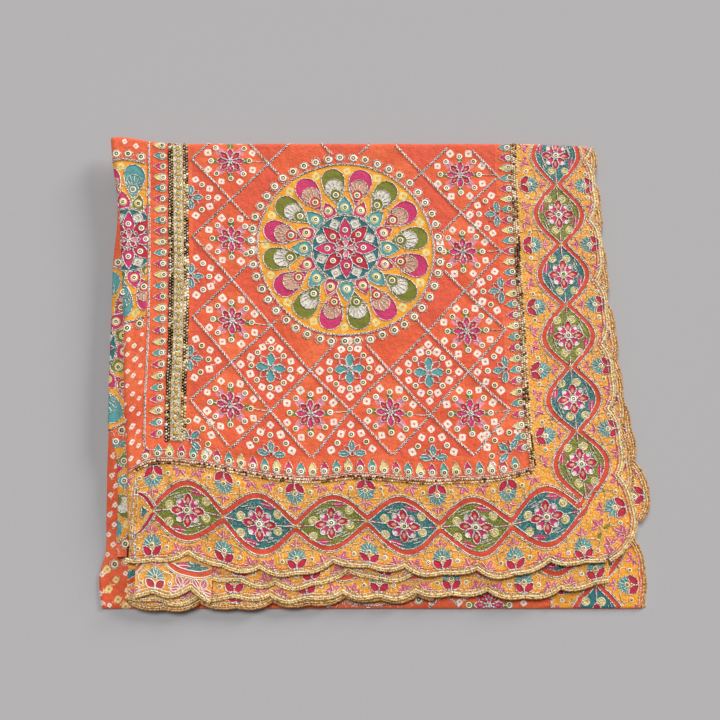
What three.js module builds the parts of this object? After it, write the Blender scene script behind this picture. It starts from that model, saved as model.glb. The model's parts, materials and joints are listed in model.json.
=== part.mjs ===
// A dupatta, a long embroidered south asian veil, folded into a flat pack that lies on a surface.
// Millimetres, +Z up. X runs along the cloth's length, towards its finished end. Y runs from the
// cloth's long edge, at the front, to the fold of its width, at the back. The origin is the middle
// of the pack's footprint, at the surface it rests on.
import * as THREE from 'three';

// Driving dimensions.
const CLOTH = 1.5; // wall of one ply, with its embroidery
const GAP = 0.3; // between pieces that touch
const PLY_PITCH = CLOTH + GAP; // from one ply to the next
const PACK_HEIGHT = 20; // middle of the top ply, over the hidden plies
const EDGE_DROP = 5.2; // how much lower the top ply lies where few plies are under it
const DROP_FRONT = { from: -120, to: -180 }; // y where the top ply starts and ends to fall
const DROP_END = { from: 154, to: 220 }; // x where it does so towards the cloth's end
const WAVE = 0.5; // height of the soft waves in the top ply
const FOLD_RADIUS = 4; // of the top ply where it turns down
const LOWEST_HEIGHT = 3; // the lowest ply, folded at its front
const CORD_WIDTH = 4.6; // corded edging
const CORD_PROUD = 0.2; // its height above the ply it is sewn to
const CUSP = 6.5; // depth of the deep cusp between scallops
const NICK = 1.8; // depth of the shallow cusp in a scallop's middle
const FRONT_PITCH = 69.8; // from one deep cusp to the next along the front
const FRONT_CUSP_X = -38;
const END_PITCH = 66; // the same along the end
const END_CUSP_Y = -46;
const STATIONS = 6; // places worked out for each pitch
const TRIM_HEIGHT = 1.2; // braid and bead lines

// The top ply's lines across the pack, at places from front to back: its left fold, the middle of
// the gold band, the bead line before the end border, and the end's cut edge.
const ACROSS = [
  { y: -205, fold: -233, band: -191, line: 166, edge: 214 },
  { y: -193, fold: -233, band: -191, line: 166, edge: 226 },
  { y: -185, fold: -234, band: -191, line: 165, edge: 238 },
  { y: -170, fold: -236, band: -192, line: 164, edge: 250 },
  { y: -158, fold: -237, band: -192, line: 163, edge: 254 },
  { y: -140, fold: -238, band: -192, line: 161, edge: 252 },
  { y: -116, fold: -239, band: -192, line: 159, edge: 249 },
  { y: -77, fold: -242, band: -193, line: 155, edge: 245 },
  { y: -37, fold: -246, band: -194, line: 153, edge: 242 },
  { y: 24, fold: -249, band: -194, line: 152, edge: 239 },
  { y: 97, fold: -255, band: -196, line: 150, edge: 236 },
  { y: 162, fold: -261, band: -199, line: 149, edge: 233 },
  { y: 206, fold: -269, band: -201, line: 149, edge: 231 },
  { y: 242, fold: -274, band: -203, line: 149, edge: 234 },
];
// Its lines along the pack, at places from left to right: the long edge, the bead line, the back fold.
const ALONG = [
  { x: -276, edge: -194, line: -128, back: 241 },
  { x: -262, edge: -194, line: -122, back: 242 },
  { x: -243, edge: -194, line: -114, back: 239 },
  { x: -218, edge: -193, line: -101, back: 235 },
  { x: -169, edge: -192, line: -102, back: 234 },
  { x: -125, edge: -203, line: -110, back: 234 },
  { x: -88, edge: -206, line: -116, back: 234 },
  { x: -58, edge: -203, line: -118, back: 234 },
  { x: -17, edge: -197, line: -114, back: 234 },
  { x: 17, edge: -202, line: -116, back: 234 },
  { x: 50, edge: -206, line: -119, back: 234 },
  { x: 81, edge: -204, line: -118, back: 234 },
  { x: 119, edge: -208, line: -116, back: 234 },
  { x: 163, edge: -200, line: -107, back: 234 },
  { x: 204, edge: -194, line: -100, back: 234 },
  { x: 260, edge: -190, line: -95, back: 231 },
];
// Cut edges of the plies below, along the front and along the end.
const SECOND_FRONT = [
  { x: -156, edge: -212 }, { x: -127, edge: -211.5 }, { x: -108, edge: -218 },
  { x: -78, edge: -219.8 }, { x: -58, edge: -215.4 }, { x: -24, edge: -208.5 },
  { x: 0, edge: -208 }, { x: 16, edge: -212 }, { x: 42, edge: -207 }, { x: 60, edge: -204 },
  { x: 165, edge: -199 },
];
const THIRD_FRONT = [
  { x: -236, edge: -233 }, { x: -212, edge: -229 }, { x: -188, edge: -234 },
  { x: -166, edge: -233 }, { x: -137, edge: -227 }, { x: -100, edge: -231.5 },
  { x: -83, edge: -232 }, { x: -62, edge: -228.4 }, { x: -14, edge: -228.6 },
  { x: 6, edge: -226.5 }, { x: 24, edge: -229 }, { x: 42, edge: -227.5 }, { x: 77, edge: -224.5 },
  { x: 131, edge: -227.4 }, { x: 165, edge: -226.5 }, { x: 182, edge: -224.5 },
  { x: 204, edge: -217.5 }, { x: 230, edge: -211 },
];
const FOURTH_FRONT = [
  { x: -236, edge: -237 }, { x: -185, edge: -238.6 }, { x: -148, edge: -237 },
  { x: -98, edge: -236.8 }, { x: -62, edge: -234 }, { x: -28, edge: -232.5 },
  { x: 8, edge: -229.3 }, { x: 24, edge: -231.3 }, { x: 60, edge: -229.5 },
];
const FLAP_FRONT = [
  { x: -233, edge: -228.5 }, { x: -213, edge: -222.5 }, { x: -195, edge: -226 },
  { x: -176, edge: -224.5 }, { x: -154, edge: -231.5 },
];
const SECOND_END = [
  { y: -192, edge: 226 }, { y: -174, edge: 243 }, { y: -150, edge: 253 }, { y: -98, edge: 255 },
  { y: -45, edge: 251 }, { y: 32, edge: 246 }, { y: 86, edge: 241 }, { y: 150, edge: 238 },
  { y: 228, edge: 235 },
];
const THIRD_END = [
  { y: -154, edge: 264 }, { y: -146, edge: 268 }, { y: -133, edge: 271 }, { y: -112, edge: 267 },
  { y: -71, edge: 258 }, { y: -20, edge: 251 }, { y: 32, edge: 242 },
];
// Sides of the lowest ply and of the folded ply that peeks out above it at the left.
const LOWEST = [
  { y: -239.5, left: -262, end: 261, leaf: -236 }, { y: -210, left: -266, end: 265, leaf: -236 },
  { y: -185, left: -261, end: 262, leaf: -236 }, { y: -155, left: -262, end: 258, leaf: -236 },
  { y: -125, left: -263, end: 240, leaf: -236 }, { y: -95, left: -264, end: 236, leaf: -254 },
  { y: 60, left: -264, end: 230, leaf: -254 }, { y: 150, left: -261, end: 226, leaf: -252 },
  { y: 238, left: -270, end: 224, leaf: -262 },
];
const LEFT_FOLD = [
  { y: -190, edge: -249.5, inner: -238 }, { y: -116, edge: -250, inner: -238 },
  { y: -88, edge: -254, inner: -240 }, { y: -71, edge: -261, inner: -242 },
  { y: -40, edge: -263, inner: -243 }, { y: 60, edge: -265, inner: -243 },
  { y: 107, edge: -266, inner: -243 }, { y: 150, edge: -264, inner: -244 },
  { y: 186, edge: -266, inner: -246 },
];
// The hidden plies, as leaves from the bottom up, with the sides of each leaf.
const CORE_LEAVES = [
  { bottom: 3.3, top: 6.5, left: (y) => lowest(y).leaf, end: 214, front: -203, back: 227 },
  { bottom: 6.5, top: 10.6, left: () => -236, end: 156, front: -123, back: 230 },
  { bottom: 10.6, top: 14.6, left: () => -235, end: 154, front: -123, back: 229 },
  { bottom: 14.6, top: 16.8, left: () => -234, end: 151, front: -122, back: 228 },
  { bottom: 16.8, top: 18.9, left: (y) => across(y).fold + 6, end: 146, front: -122, back: 228 },
];
const LEAF_ROUND = 1.6; // how far a leaf's rounded side bulges past its groove

// A smooth curve through a short table: returns a function from the key column to the others.
function curveThrough(table, key) {
  const names = Object.keys(table[0]).filter((name) => name !== key);
  const places = table.map((row) => row[key]);
  const values = table.flatMap((row) => names.map((name) => row[name]));
  const curve = new THREE.CubicInterpolant(places, values, names.length);
  return (place) => {
    const clamped = THREE.MathUtils.clamp(place, places[0], places[places.length - 1]);
    const found = curve.evaluate(clamped);
    return Object.fromEntries(names.map((name, i) => [name, found[i]]));
  };
}

const across = curveThrough(ACROSS, 'y');
const along = curveThrough(ALONG, 'x');
const lowest = curveThrough(LOWEST, 'y');
const leftFold = curveThrough(LEFT_FOLD, 'y');
const { lerp, clamp, euclideanModulo } = THREE.MathUtils;

// How far a scalloped edge lies inside its line: two lobes between deep cusps, a nick between them.
function scallop(place, cuspPlace, pitch) {
  const turn = euclideanModulo((place - cuspPlace) / pitch, 1);
  const lobe = turn < 0.5 ? turn * 2 : 2 - turn * 2;
  return CUSP * (1 - lobe) ** 2.5 + NICK * lobe ** 2.5;
}

const frontScallop = (x, shift = 0) => scallop(x, FRONT_CUSP_X + shift, FRONT_PITCH);
const endScallop = (y, shift = 0) => scallop(y, END_CUSP_Y + shift, END_PITCH);

// Places from one end to the other, with those between on the scallops' own steps.
function stations(from, to, cuspPlace, pitch) {
  const step = pitch / STATIONS;
  const places = [from];
  for (let k = Math.ceil((from - cuspPlace) / step + 0.3); cuspPlace + k * step < to - step * 0.3; k += 1) {
    places.push(cuspPlace + k * step);
  }
  return [...places, to];
}

// Height of the middle of a ply: 0 is the top ply, 1 the next one down.
function plyHeight(x, y, ply = 0) {
  const front = clamp((y - DROP_FRONT.from) / (DROP_FRONT.to - DROP_FRONT.from), 0, 1);
  const end = clamp((x - DROP_END.from) / (DROP_END.to - DROP_END.from), 0, 1);
  const level = (1 - front) * (1 - end);
  const wave = WAVE * Math.sin(x / 61) * Math.cos(y / 53);
  return PACK_HEIGHT - EDGE_DROP * (1 - level) + wave * level - ply * PLY_PITCH;
}

// Where a line across the pack, x for each y, meets a line along it, y for each x.
function meet(xAt, yAt) {
  let x = 0;
  let y = 0;
  for (let pass = 0; pass < 6; pass += 1) {
    x = xAt(y);
    y = yAt(x);
  }
  return [x, y];
}

const dupatta = new THREE.Group();

// A block whose six sides follow place(i, j, k), the step counts along X, Y and Z.
function block(name, steps, place, look) {
  const shape = new THREE.BoxGeometry(1, 1, 1, ...steps);
  const points = shape.attributes.position;
  for (let n = 0; n < points.count; n += 1) {
    const [i, j, k] = [points.getX(n), points.getY(n), points.getZ(n)]
      .map((value, axis) => Math.round((value + 0.5) * steps[axis]));
    points.setXYZ(n, ...place(i, j, k));
  }
  shape.computeVertexNormals();
  const mesh = new THREE.Mesh(shape, new THREE.MeshStandardMaterial(look));
  mesh.name = name;
  dupatta.add(mesh);
}

const cloth = (color) => ({ color, roughness: 0.8, metalness: 0 });
const thread = (color) => ({ color, roughness: 0.45, metalness: 0.6 });
const ORANGE = cloth('#f0603a');
const YELLOW = cloth('#f3a530');
const PALE_YELLOW = cloth('#f2bb6a');
const GOLD_CORD = thread('#dcbf7c');
const GOLD_BRAID = thread('#b8932b');
const DARK_SEQUINS = thread('#3a241c');
const SILVER_BEADS = thread('#8f7f6c');

// Where the top ply turns down at a fold: a quarter circle, from the flat at turn 0 to turn 1.
const TURN_STEPS = 3;
function turnedDown([x, y], [turnX, turnY], k) {
  const radius = FOLD_RADIUS + (k - 0.5) * CLOTH;
  const [angleX, angleY] = [turnX * Math.PI / 2, turnY * Math.PI / 2];
  const rise = radius * (Math.cos(angleX) + Math.cos(angleY) - 1) - FOLD_RADIUS;
  return [x - radius * Math.sin(angleX), y + radius * Math.sin(angleY), plyHeight(x, y) + rise];
}

const HALF_GAP = GAP / 2;
const foldLine = (y) => across(y).fold + FOLD_RADIUS;
const bandLine = (y) => across(y).band;
const backFold = (x) => along(x).back - FOLD_RADIUS;
const endEdge = (y) => across(y).edge - endScallop(y);
const frontEdge = (x) => along(x).edge + frontScallop(x);

// The lines between the pallu and its borders are straight from one of the pallu's places to the
// next, and the borders' finer places lie on them.
function straightThrough(places, valueAt) {
  const line = new THREE.LinearInterpolant(places, places.map(valueAt), 1);
  return (place) => line.evaluate(clamp(place, places[0], places.at(-1)))[0];
}

const leftCorner = meet(foldLine, (x) => along(x).line);
const endCorner = meet((y) => across(y).line, (x) => along(x).line);
const borderX = stations(leftCorner[0], endCorner[0], FRONT_CUSP_X, FRONT_PITCH);
const endY = stations(endCorner[1], backFold(endCorner[0]), END_CUSP_Y, END_PITCH);
const cornerY = stations(-187, endCorner[1], END_CUSP_Y, END_PITCH);
const everyOther = (places) => places.filter((_, i) => i % 2 === 0 || i === places.length - 1);
const fieldX = everyOther(borderX);
const fieldY = everyOther(endY);
const frontLine = straightThrough(fieldX, (x) => along(x).line);
const endLine = straightThrough([-210, ...fieldY], (y) => across(y).line);

// The top ply inside its borders: the start of the body, the gold band's bed and the pallu.
const fieldSteps = [fieldX.length - 1 + TURN_STEPS, fieldY.length - 1 + TURN_STEPS, 1];
block('top_layer_field', fieldSteps, (i, j, k) => {
  const column = Math.max(i - TURN_STEPS, 0);
  const row = Math.min(j, fieldY.length - 1);
  const u = (fieldX[column] - fieldX[0]) / (fieldX.at(-1) - fieldX[0]);
  const v = (fieldY[row] - fieldY[0]) / (fieldY.at(-1) - fieldY[0]);
  const [x, y] = meet(
    (at) => (v === 0 ? fieldX[column] : lerp(foldLine(at), endLine(at), u)),
    (at) => (u === 1 ? fieldY[row] : lerp(frontLine(at), backFold(at), v)),
  );
  const turn = [Math.max(TURN_STEPS - i, 0) / TURN_STEPS, Math.max(j - row, 0) / TURN_STEPS];
  const inset = [u === 1 ? -HALF_GAP : 0, v === 0 ? HALF_GAP : 0];
  return turnedDown([x + inset[0], y + inset[1]], turn, k);
}, ORANGE);

// The borders have rows and columns on the lines where the ply starts and ends to fall.
const borderSteps = [borderX.length - 1 + TURN_STEPS, 3, 1];
const borderEnds = [foldLine, (y) => endLine(y) - HALF_GAP];
block('top_layer_front_border', borderSteps, (i, j, k) => {
  const column = Math.max(i - TURN_STEPS, 0);
  const atEnd = column === 0 || column === borderX.length - 1;
  const point = meet(
    atEnd ? borderEnds[column && 1] : () => borderX[column],
    (x) => [frontEdge(x), DROP_FRONT.to, DROP_FRONT.from, frontLine(x) - HALF_GAP][j],
  );
  return turnedDown(point, [Math.max(TURN_STEPS - i, 0) / TURN_STEPS, 0], k);
}, YELLOW);

const sideY = [...cornerY, ...endY.slice(1)];
const onEndBorder = (i, j) => meet(
  (y) => [endLine(y) + HALF_GAP, 180, DROP_END.to, endEdge(y)][i],
  (x) => (j === 0 ? frontEdge(x) : sideY[Math.min(j, sideY.length) - 1]),
);
block('top_layer_end_border', [3, sideY.length + TURN_STEPS, 1], (i, j, k) => (
  turnedDown(onEndBorder(i, j), [0, Math.max(j - sideY.length, 0) / TURN_STEPS], k)
), YELLOW);

// A ply below, from its cut edge inwards. rows gives each place its y, from the edge to the back.
function frontPly(name, ply, { from, to, edge, inner, shift }, look) {
  const edgeAt = curveThrough(edge, 'x');
  const places = stations(from, to, FRONT_CUSP_X + shift, FRONT_PITCH);
  const cutEdge = (x) => edgeAt(x).edge + frontScallop(x, shift);
  block(name, [places.length - 1, 2, 1], (i, j, k) => {
    const x = places[i];
    const y = [cutEdge(x), DROP_FRONT.to, inner][j];
    return [x, y, plyHeight(x, y, ply) + (k - 0.5) * CLOTH];
  }, look);
  return places.map((x) => [x, cutEdge(x)]);
}

function endPly(name, ply, { from, to, edge, inner, shift }, look) {
  const edgeAt = curveThrough(edge, 'y');
  const places = stations(from, to, END_CUSP_Y + shift, END_PITCH);
  const cutEdge = (y) => edgeAt(y).edge - endScallop(y, shift);
  block(name, [2, places.length - 1, 1], (i, j, k) => {
    const y = places[j];
    const x = [inner, DROP_END.to, cutEdge(y)][i];
    return [x, y, plyHeight(x, y, ply) + (k - 0.5) * CLOTH];
  }, look);
  return places.map((y) => [cutEdge(y), y]);
}

// Corded edging outside a cut edge, given left to right along the front or front to back at the end.
function edging(name, edgePoints, heightAt) {
  const last = edgePoints.length - 1;
  const outward = (i) => {
    const [ax, ay] = edgePoints[Math.max(i - 1, 0)];
    const [bx, by] = edgePoints[Math.min(i + 1, last)];
    const length = Math.hypot(bx - ax, by - ay);
    return [(by - ay) / length, (ax - bx) / length];
  };
  block(name, [last, 1, 1], (i, j, k) => {
    const [x, y] = edgePoints[i];
    const [nx, ny] = outward(i);
    const slope = k === 1 ? CORD_WIDTH * 0.18 : 0;
    const reach = j === 0 ? GAP + CORD_WIDTH - slope : GAP + slope * 0.4;
    const rise = k === 1 ? CLOTH / 2 + CORD_PROUD : -CLOTH / 2;
    return [x + nx * reach, y + ny * reach, heightAt(x, y) + rise];
  }, GOLD_CORD);
}

const plyLevel = (ply) => (x, y) => plyHeight(x, y, ply);
const frontEdgePoints = borderX.slice(1, -1).map((x) => [x, frontEdge(x)]);
const frontEnds = borderEnds.map((line) => meet(line, frontEdge));
const seamClear = [0, 1].map((axis) => lerp(frontEdgePoints.at(-1)[axis], frontEnds[1][axis], 0.8));
edging('top_edging_front', [frontEnds[0], ...frontEdgePoints, seamClear], plyLevel(0));
const cornerPoints = [0, 1, 2, 3].map((i) => onEndBorder(i, 0));
edging('top_edging_end', [...cornerPoints, ...sideY.map((_, j) => onEndBorder(3, j + 1))], plyLevel(0));

const flapEdge = frontPly('reverse_flap', 1, {
  from: -228, to: -154, edge: FLAP_FRONT, inner: -160, shift: 4,
}, PALE_YELLOW);
edging('flap_edging', flapEdge, plyLevel(1));
const secondFront = frontPly('second_layer_front', 2, {
  from: -160, to: 160, edge: SECOND_FRONT, inner: -126, shift: 15,
}, PALE_YELLOW);
edging('second_edging_front', secondFront, plyLevel(2));
const secondEnd = endPly('second_layer_end', 2, {
  from: -190, to: 228, edge: SECOND_END, inner: 160.5, shift: -20,
}, PALE_YELLOW);
edging('second_edging_end', secondEnd, plyLevel(2));
const thirdFront = frontPly('third_layer_front', 3, {
  from: -236, to: 229, edge: THIRD_FRONT, inner: -156, shift: 10,
}, YELLOW);
edging('third_edging_front', thirdFront, plyLevel(3));
const thirdEnd = endPly('third_layer_end', 3, {
  from: -155, to: 30, edge: THIRD_END, inner: 160.5, shift: 14,
}, YELLOW);
edging('third_edging_end', thirdEnd, plyLevel(3));
const fourthFront = frontPly('fourth_layer_front', 4, {
  from: -236, to: 60, edge: FOURTH_FRONT, inner: -156, shift: 12,
}, YELLOW);
edging('fourth_edging_front', fourthFront, plyLevel(4));

// The folded ply that peeks out at the left: upper run, bend, lower run.
const BEND_STEPS = 4;
const BEND_RADIUS = 2.4;
const FOLD_DEPTH_BELOW_TOP = 5.6;
const leftY = LEFT_FOLD.flatMap((row, i) => (i ? [(row.y + LEFT_FOLD[i - 1].y) / 2, row.y] : [row.y]));
block('left_fold', [BEND_STEPS + 2, leftY.length - 1, 1], (i, j, k) => {
  const y = leftY[j];
  const { edge, inner } = leftFold(y);
  const radius = BEND_RADIUS + (k - 0.5) * CLOTH;
  const turn = clamp((i - 1) / BEND_STEPS, 0, 1) * Math.PI;
  const centre = plyHeight(inner, y) - FOLD_DEPTH_BELOW_TOP - BEND_RADIUS;
  const run = i === 0 || i === BEND_STEPS + 2;
  const x = run ? inner : edge + BEND_RADIUS - radius * Math.sin(turn);
  return [x, y, centre - radius * Math.cos(turn)];
}, ORANGE);

// The lowest ply: flat underneath, rounded at its folds, scalloped where its end shows.
const lowestY = [...stations(-239.5, -150, END_CUSP_Y + 6, END_PITCH), -125, -95, -20, 60, 150, 238];
const lowestEnd = (y) => lowest(y).end
  - endScallop(y, 6) * clamp((-140 - y) / 10, 0, 1) * clamp((y + 242) / 26, 0, 1);
const LOWEST_ROUND = 0.9;
block('lowest_layer', [4, lowestY.length - 1, 2], (i, j, k) => {
  const round = k === 1 ? 0 : LOWEST_ROUND;
  const y = lowestY[j] + (j === 0 ? round : 0) - (j === lowestY.length - 1 ? round : 0);
  const x = lerp(lowest(y).left + round, lowestEnd(y) - round, i / 4);
  return [x, y, LOWEST_HEIGHT * k / 2];
}, ORANGE);
const lowestEdge = lowestY.filter((y) => y < -148).map((y) => [lowestEnd(y), y]);
edging('lowest_edging_end', lowestEdge, () => LOWEST_HEIGHT / 2);

// The hidden plies: each leaf has a groove below and above its rounded side.
const coreRings = CORE_LEAVES.flatMap((leaf) => [
  { ...leaf, z: leaf.bottom, inset: LEAF_ROUND },
  { ...leaf, z: (leaf.bottom + leaf.top) / 2, inset: 0 },
  { ...leaf, z: leaf.top - (leaf === CORE_LEAVES.at(-1) ? 0 : 0.4), inset: LEAF_ROUND },
]);
const CORE_STEPS = 8;
block('folded_core', [CORE_STEPS, CORE_STEPS, coreRings.length - 1], (i, j, k) => {
  const ring = coreRings[k];
  const y = lerp(ring.front + ring.inset, ring.back - ring.inset, j / CORE_STEPS);
  const x = lerp(ring.left(y) + ring.inset, ring.end - ring.inset, i / CORE_STEPS);
  const top = k === coreRings.length - 1;
  return [x, y, top ? plyHeight(x, y) - CLOTH / 2 - GAP : ring.z];
}, ORANGE);

// A trim sewn on the top ply along a line: its points are the ply's own, moved out.
function trim(name, places, { width, lineAt, acrossPack }, look) {
  block(name, acrossPack ? [places.length - 1, 1, 1] : [1, places.length - 1, 1], (i, j, k) => {
    const place = places[acrossPack ? i : j];
    const aside = (acrossPack ? j : i) - 0.5;
    const x = acrossPack ? place : lineAt(place) + width * aside;
    const y = acrossPack ? lineAt(place) + width * aside : place;
    return [x, y, plyHeight(x, y) + CLOTH / 2 + GAP + TRIM_HEIGHT * k];
  }, look);
}

const evenly = (from, to, count) => Array.from({ length: count + 1 }, (_, i) => lerp(from, to, i / count));
const bandY = evenly(-79, 229, 18);
const band = { braid: 9, row: 4.4, rowFrom: 7.2 };
trim('zari_braid', bandY, { width: band.braid, lineAt: bandLine }, GOLD_BRAID);
trim('sequin_row_body_side', bandY, { width: band.row, lineAt: (y) => bandLine(y) - band.rowFrom }, DARK_SEQUINS);
trim('sequin_row_pallu_side', bandY, { width: band.row, lineAt: (y) => bandLine(y) + band.rowFrom }, DARK_SEQUINS);
trim('bead_line_front', evenly(-232, 157, 28), { width: 4.5, lineAt: frontLine, acrossPack: true }, SILVER_BEADS);
trim('bead_line_end', evenly(-104, 229, 18), { width: 4.5, lineAt: endLine }, SILVER_BEADS);

export default dupatta;
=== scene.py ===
"""A dupatta, a long embroidered south asian veil, folded into a flat pack that lies on a surface.

Sizes are in millimetres, and turned to metres only where a mesh is made. X runs along the cloth's
length towards its finished end, Y from the cloth's long edge at the front to the fold at the back.
A place on the flat cloth is a complex number: its real part runs along the cloth's length and its
imaginary part across its width.
"""
import json
import math
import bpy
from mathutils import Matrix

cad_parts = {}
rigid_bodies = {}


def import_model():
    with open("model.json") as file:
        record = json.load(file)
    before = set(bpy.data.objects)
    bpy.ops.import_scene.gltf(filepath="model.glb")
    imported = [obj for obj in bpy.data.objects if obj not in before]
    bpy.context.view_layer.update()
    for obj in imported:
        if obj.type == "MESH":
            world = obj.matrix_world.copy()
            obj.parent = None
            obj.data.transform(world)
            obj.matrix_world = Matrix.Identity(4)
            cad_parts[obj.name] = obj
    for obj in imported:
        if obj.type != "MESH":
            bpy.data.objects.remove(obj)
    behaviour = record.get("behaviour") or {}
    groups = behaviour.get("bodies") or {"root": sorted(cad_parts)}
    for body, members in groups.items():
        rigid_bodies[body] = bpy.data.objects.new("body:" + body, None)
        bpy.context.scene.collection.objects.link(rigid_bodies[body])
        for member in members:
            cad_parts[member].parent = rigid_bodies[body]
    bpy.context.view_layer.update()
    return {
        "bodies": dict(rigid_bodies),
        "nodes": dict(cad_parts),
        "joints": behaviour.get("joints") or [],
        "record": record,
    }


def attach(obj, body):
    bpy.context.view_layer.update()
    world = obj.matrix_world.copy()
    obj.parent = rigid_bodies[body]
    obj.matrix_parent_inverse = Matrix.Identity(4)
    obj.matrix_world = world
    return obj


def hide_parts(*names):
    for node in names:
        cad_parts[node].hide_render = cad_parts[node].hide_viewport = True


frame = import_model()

from types import SimpleNamespace

import bmesh
import bpy
import numpy as np
from mathutils import Vector
from mathutils.kdtree import KDTree

MM = 0.001
chance = np.random.default_rng(11)

# Sizes that the pack's solids have too.
CLOTH = 1.5  # one ply, with its embroidery
PLY_PITCH = 1.8
PACK_HEIGHT = 20
EDGE_DROP = 5.2  # how far the borders sink towards their cut edges, between these lines
FRONT_HIGH, FRONT_LOW, END_HIGH, END_LOW = -116, -184, 150, 224
WAVE = 0.5
FOLD_RADIUS = 4
FRONT_PITCH, FRONT_CUSP_X = 69.8, -38  # the scallops' length, and where one of their cusps is
END_PITCH, END_CUSP_Y = 66, -46
# How deep the scallops' cusps and nicks are: sharper than those of the solids.
CUSP, NICK = 9.0, 2.6

# The flat cloth: from the gold band to the bead line before the end border, either border from its
# bead line to its cut edge, and from the front bead line to the fold of the cloth's width.
PALLU, BORDER, DEPTH = 347, 88, 345
ROUNDS = 9  # of the search for a place that depends on itself


def table(names, *rows):
    """A short table with named columns, as smooth curves from its first column to the others."""
    names = names.split()
    places, *columns = np.array(rows, float).T

    def curve(values):
        spans = np.diff(values) / np.diff(places)
        slopes = np.concatenate([spans[:1], (spans[1:] + spans[:-1]) / 2, spans[-1:]])

        def at(place):
            place = np.clip(place, places[0], places[-1])
            i = np.clip(np.searchsorted(places, place, side="right") - 1, 0, len(places) - 2)
            span = places[i + 1] - places[i]
            t = (place - places[i]) / span
            return ((1 + 2 * t) * (1 - t) ** 2 * values[i] + t * (1 - t) ** 2 * slopes[i] * span
                    + t * t * (3 - 2 * t) * values[i + 1] + t * t * (t - 1) * slopes[i + 1] * span)
        return at

    return SimpleNamespace(**{name: curve(column) for name, column in zip(names[1:], columns)})


across = table(
    "y fold band line edge",
    (-205, -233, -191, 166, 214), (-193, -233, -191, 166, 226), (-185, -234, -191, 165, 238),
    (-170, -236, -192, 164, 250), (-158, -237, -192, 163, 254), (-140, -238, -192, 161, 252),
    (-116, -239, -192, 159, 249), (-77, -242, -193, 155, 245), (-37, -246, -194, 153, 242),
    (24, -249, -194, 152, 239), (97, -255, -196, 150, 236), (162, -261, -199, 149, 233),
    (206, -269, -201, 149, 231), (242, -274, -203, 149, 234),
)
along = table(
    "x edge line back",
    (-276, -194, -128, 241), (-262, -194, -122, 242), (-243, -194, -114, 239),
    (-218, -193, -101, 235), (-169, -192, -102, 234), (-125, -203, -110, 234),
    (-88, -206, -116, 234), (-58, -203, -118, 234), (-17, -197, -114, 234), (17, -202, -116, 234),
    (50, -206, -119, 234), (81, -204, -118, 234), (119, -208, -116, 234), (163, -200, -107, 234),
    (204, -194, -100, 234), (260, -190, -95, 231),
)
second_front = table(
    "x edge", (-156, -212), (-127, -211.5), (-108, -218), (-78, -219.8), (-58, -215.4), (-24, -208.5),
    (0, -208), (16, -212), (42, -207), (60, -204), (165, -199),
)
third_front = table(
    "x edge", (-236, -233), (-212, -229), (-188, -234), (-166, -233), (-137, -227), (-100, -231.5),
    (-83, -232), (-62, -228.4), (-14, -228.6), (6, -226.5), (24, -229), (42, -227.5), (77, -224.5),
    (131, -227.4), (165, -226.5), (182, -224.5), (204, -217.5), (230, -211),
)
fourth_front = table(
    "x edge", (-236, -237), (-185, -238.6), (-148, -237), (-98, -236.8), (-62, -234), (-28, -232.5),
    (8, -229.3), (24, -231.3), (60, -229.5),
)
flap_front = table(
    "x edge", (-233, -228.5), (-213, -222.5), (-195, -226), (-176, -224.5), (-154, -231.5),
)
second_end = table(
    "y edge", (-192, 226), (-174, 243), (-150, 253), (-98, 255), (-45, 251), (32, 246), (86, 241),
    (150, 238), (228, 235),
)
third_end = table(
    "y edge", (-154, 264), (-146, 268), (-133, 271), (-112, 267), (-71, 258), (-20, 251), (32, 242),
)
lowest = table(
    "y left end leaf", (-239.5, -262, 261, -236), (-210, -266, 265, -236), (-185, -261, 262, -236),
    (-155, -262, 258, -236), (-125, -263, 240, -236), (-95, -264, 236, -254), (60, -264, 230, -254),
    (150, -261, 226, -252), (238, -270, 224, -262),
)
left_fold = table(
    "y edge inner", (-190, -249.5, -238), (-116, -250, -238), (-88, -254, -240), (-71, -261, -242),
    (-40, -263, -243), (60, -265, -243), (107, -266, -243), (150, -264, -244), (186, -266, -246),
)
# The hidden plies, as leaves from the bottom up: bottom, top, left edge, end, front and back.
CORE_LEAVES = [
    (3.3, 6.5, lowest.leaf, 214, -203, 227),
    (6.5, 10.6, lambda y: -236, 156, -123, 230),
    (10.6, 14.6, lambda y: -235, 154, -123, 229),
    (14.6, 16.8, lambda y: -234, 151, -122, 228),
    (16.8, 18.9, lambda y: across.fold(y) + 6, 146, -122, 228),
]


def lerp(a, b, t):
    return a + (b - a) * t


def smooth(low, high, value):
    t = np.clip((value - low) / (high - low), 0, 1)
    return t * t * (3 - 2 * t)


def scallop(place, cusp_place, pitch, cusp=CUSP, nick=NICK):
    """How far a scalloped edge lies inside its line: two lobes between cusps, a nick between them."""
    turn = ((place - cusp_place) / pitch) % 1
    lobe = np.where(turn < 0.5, turn * 2, 2 - turn * 2)
    return cusp * (1 - lobe) ** 3 + nick * lobe ** 2.5


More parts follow.
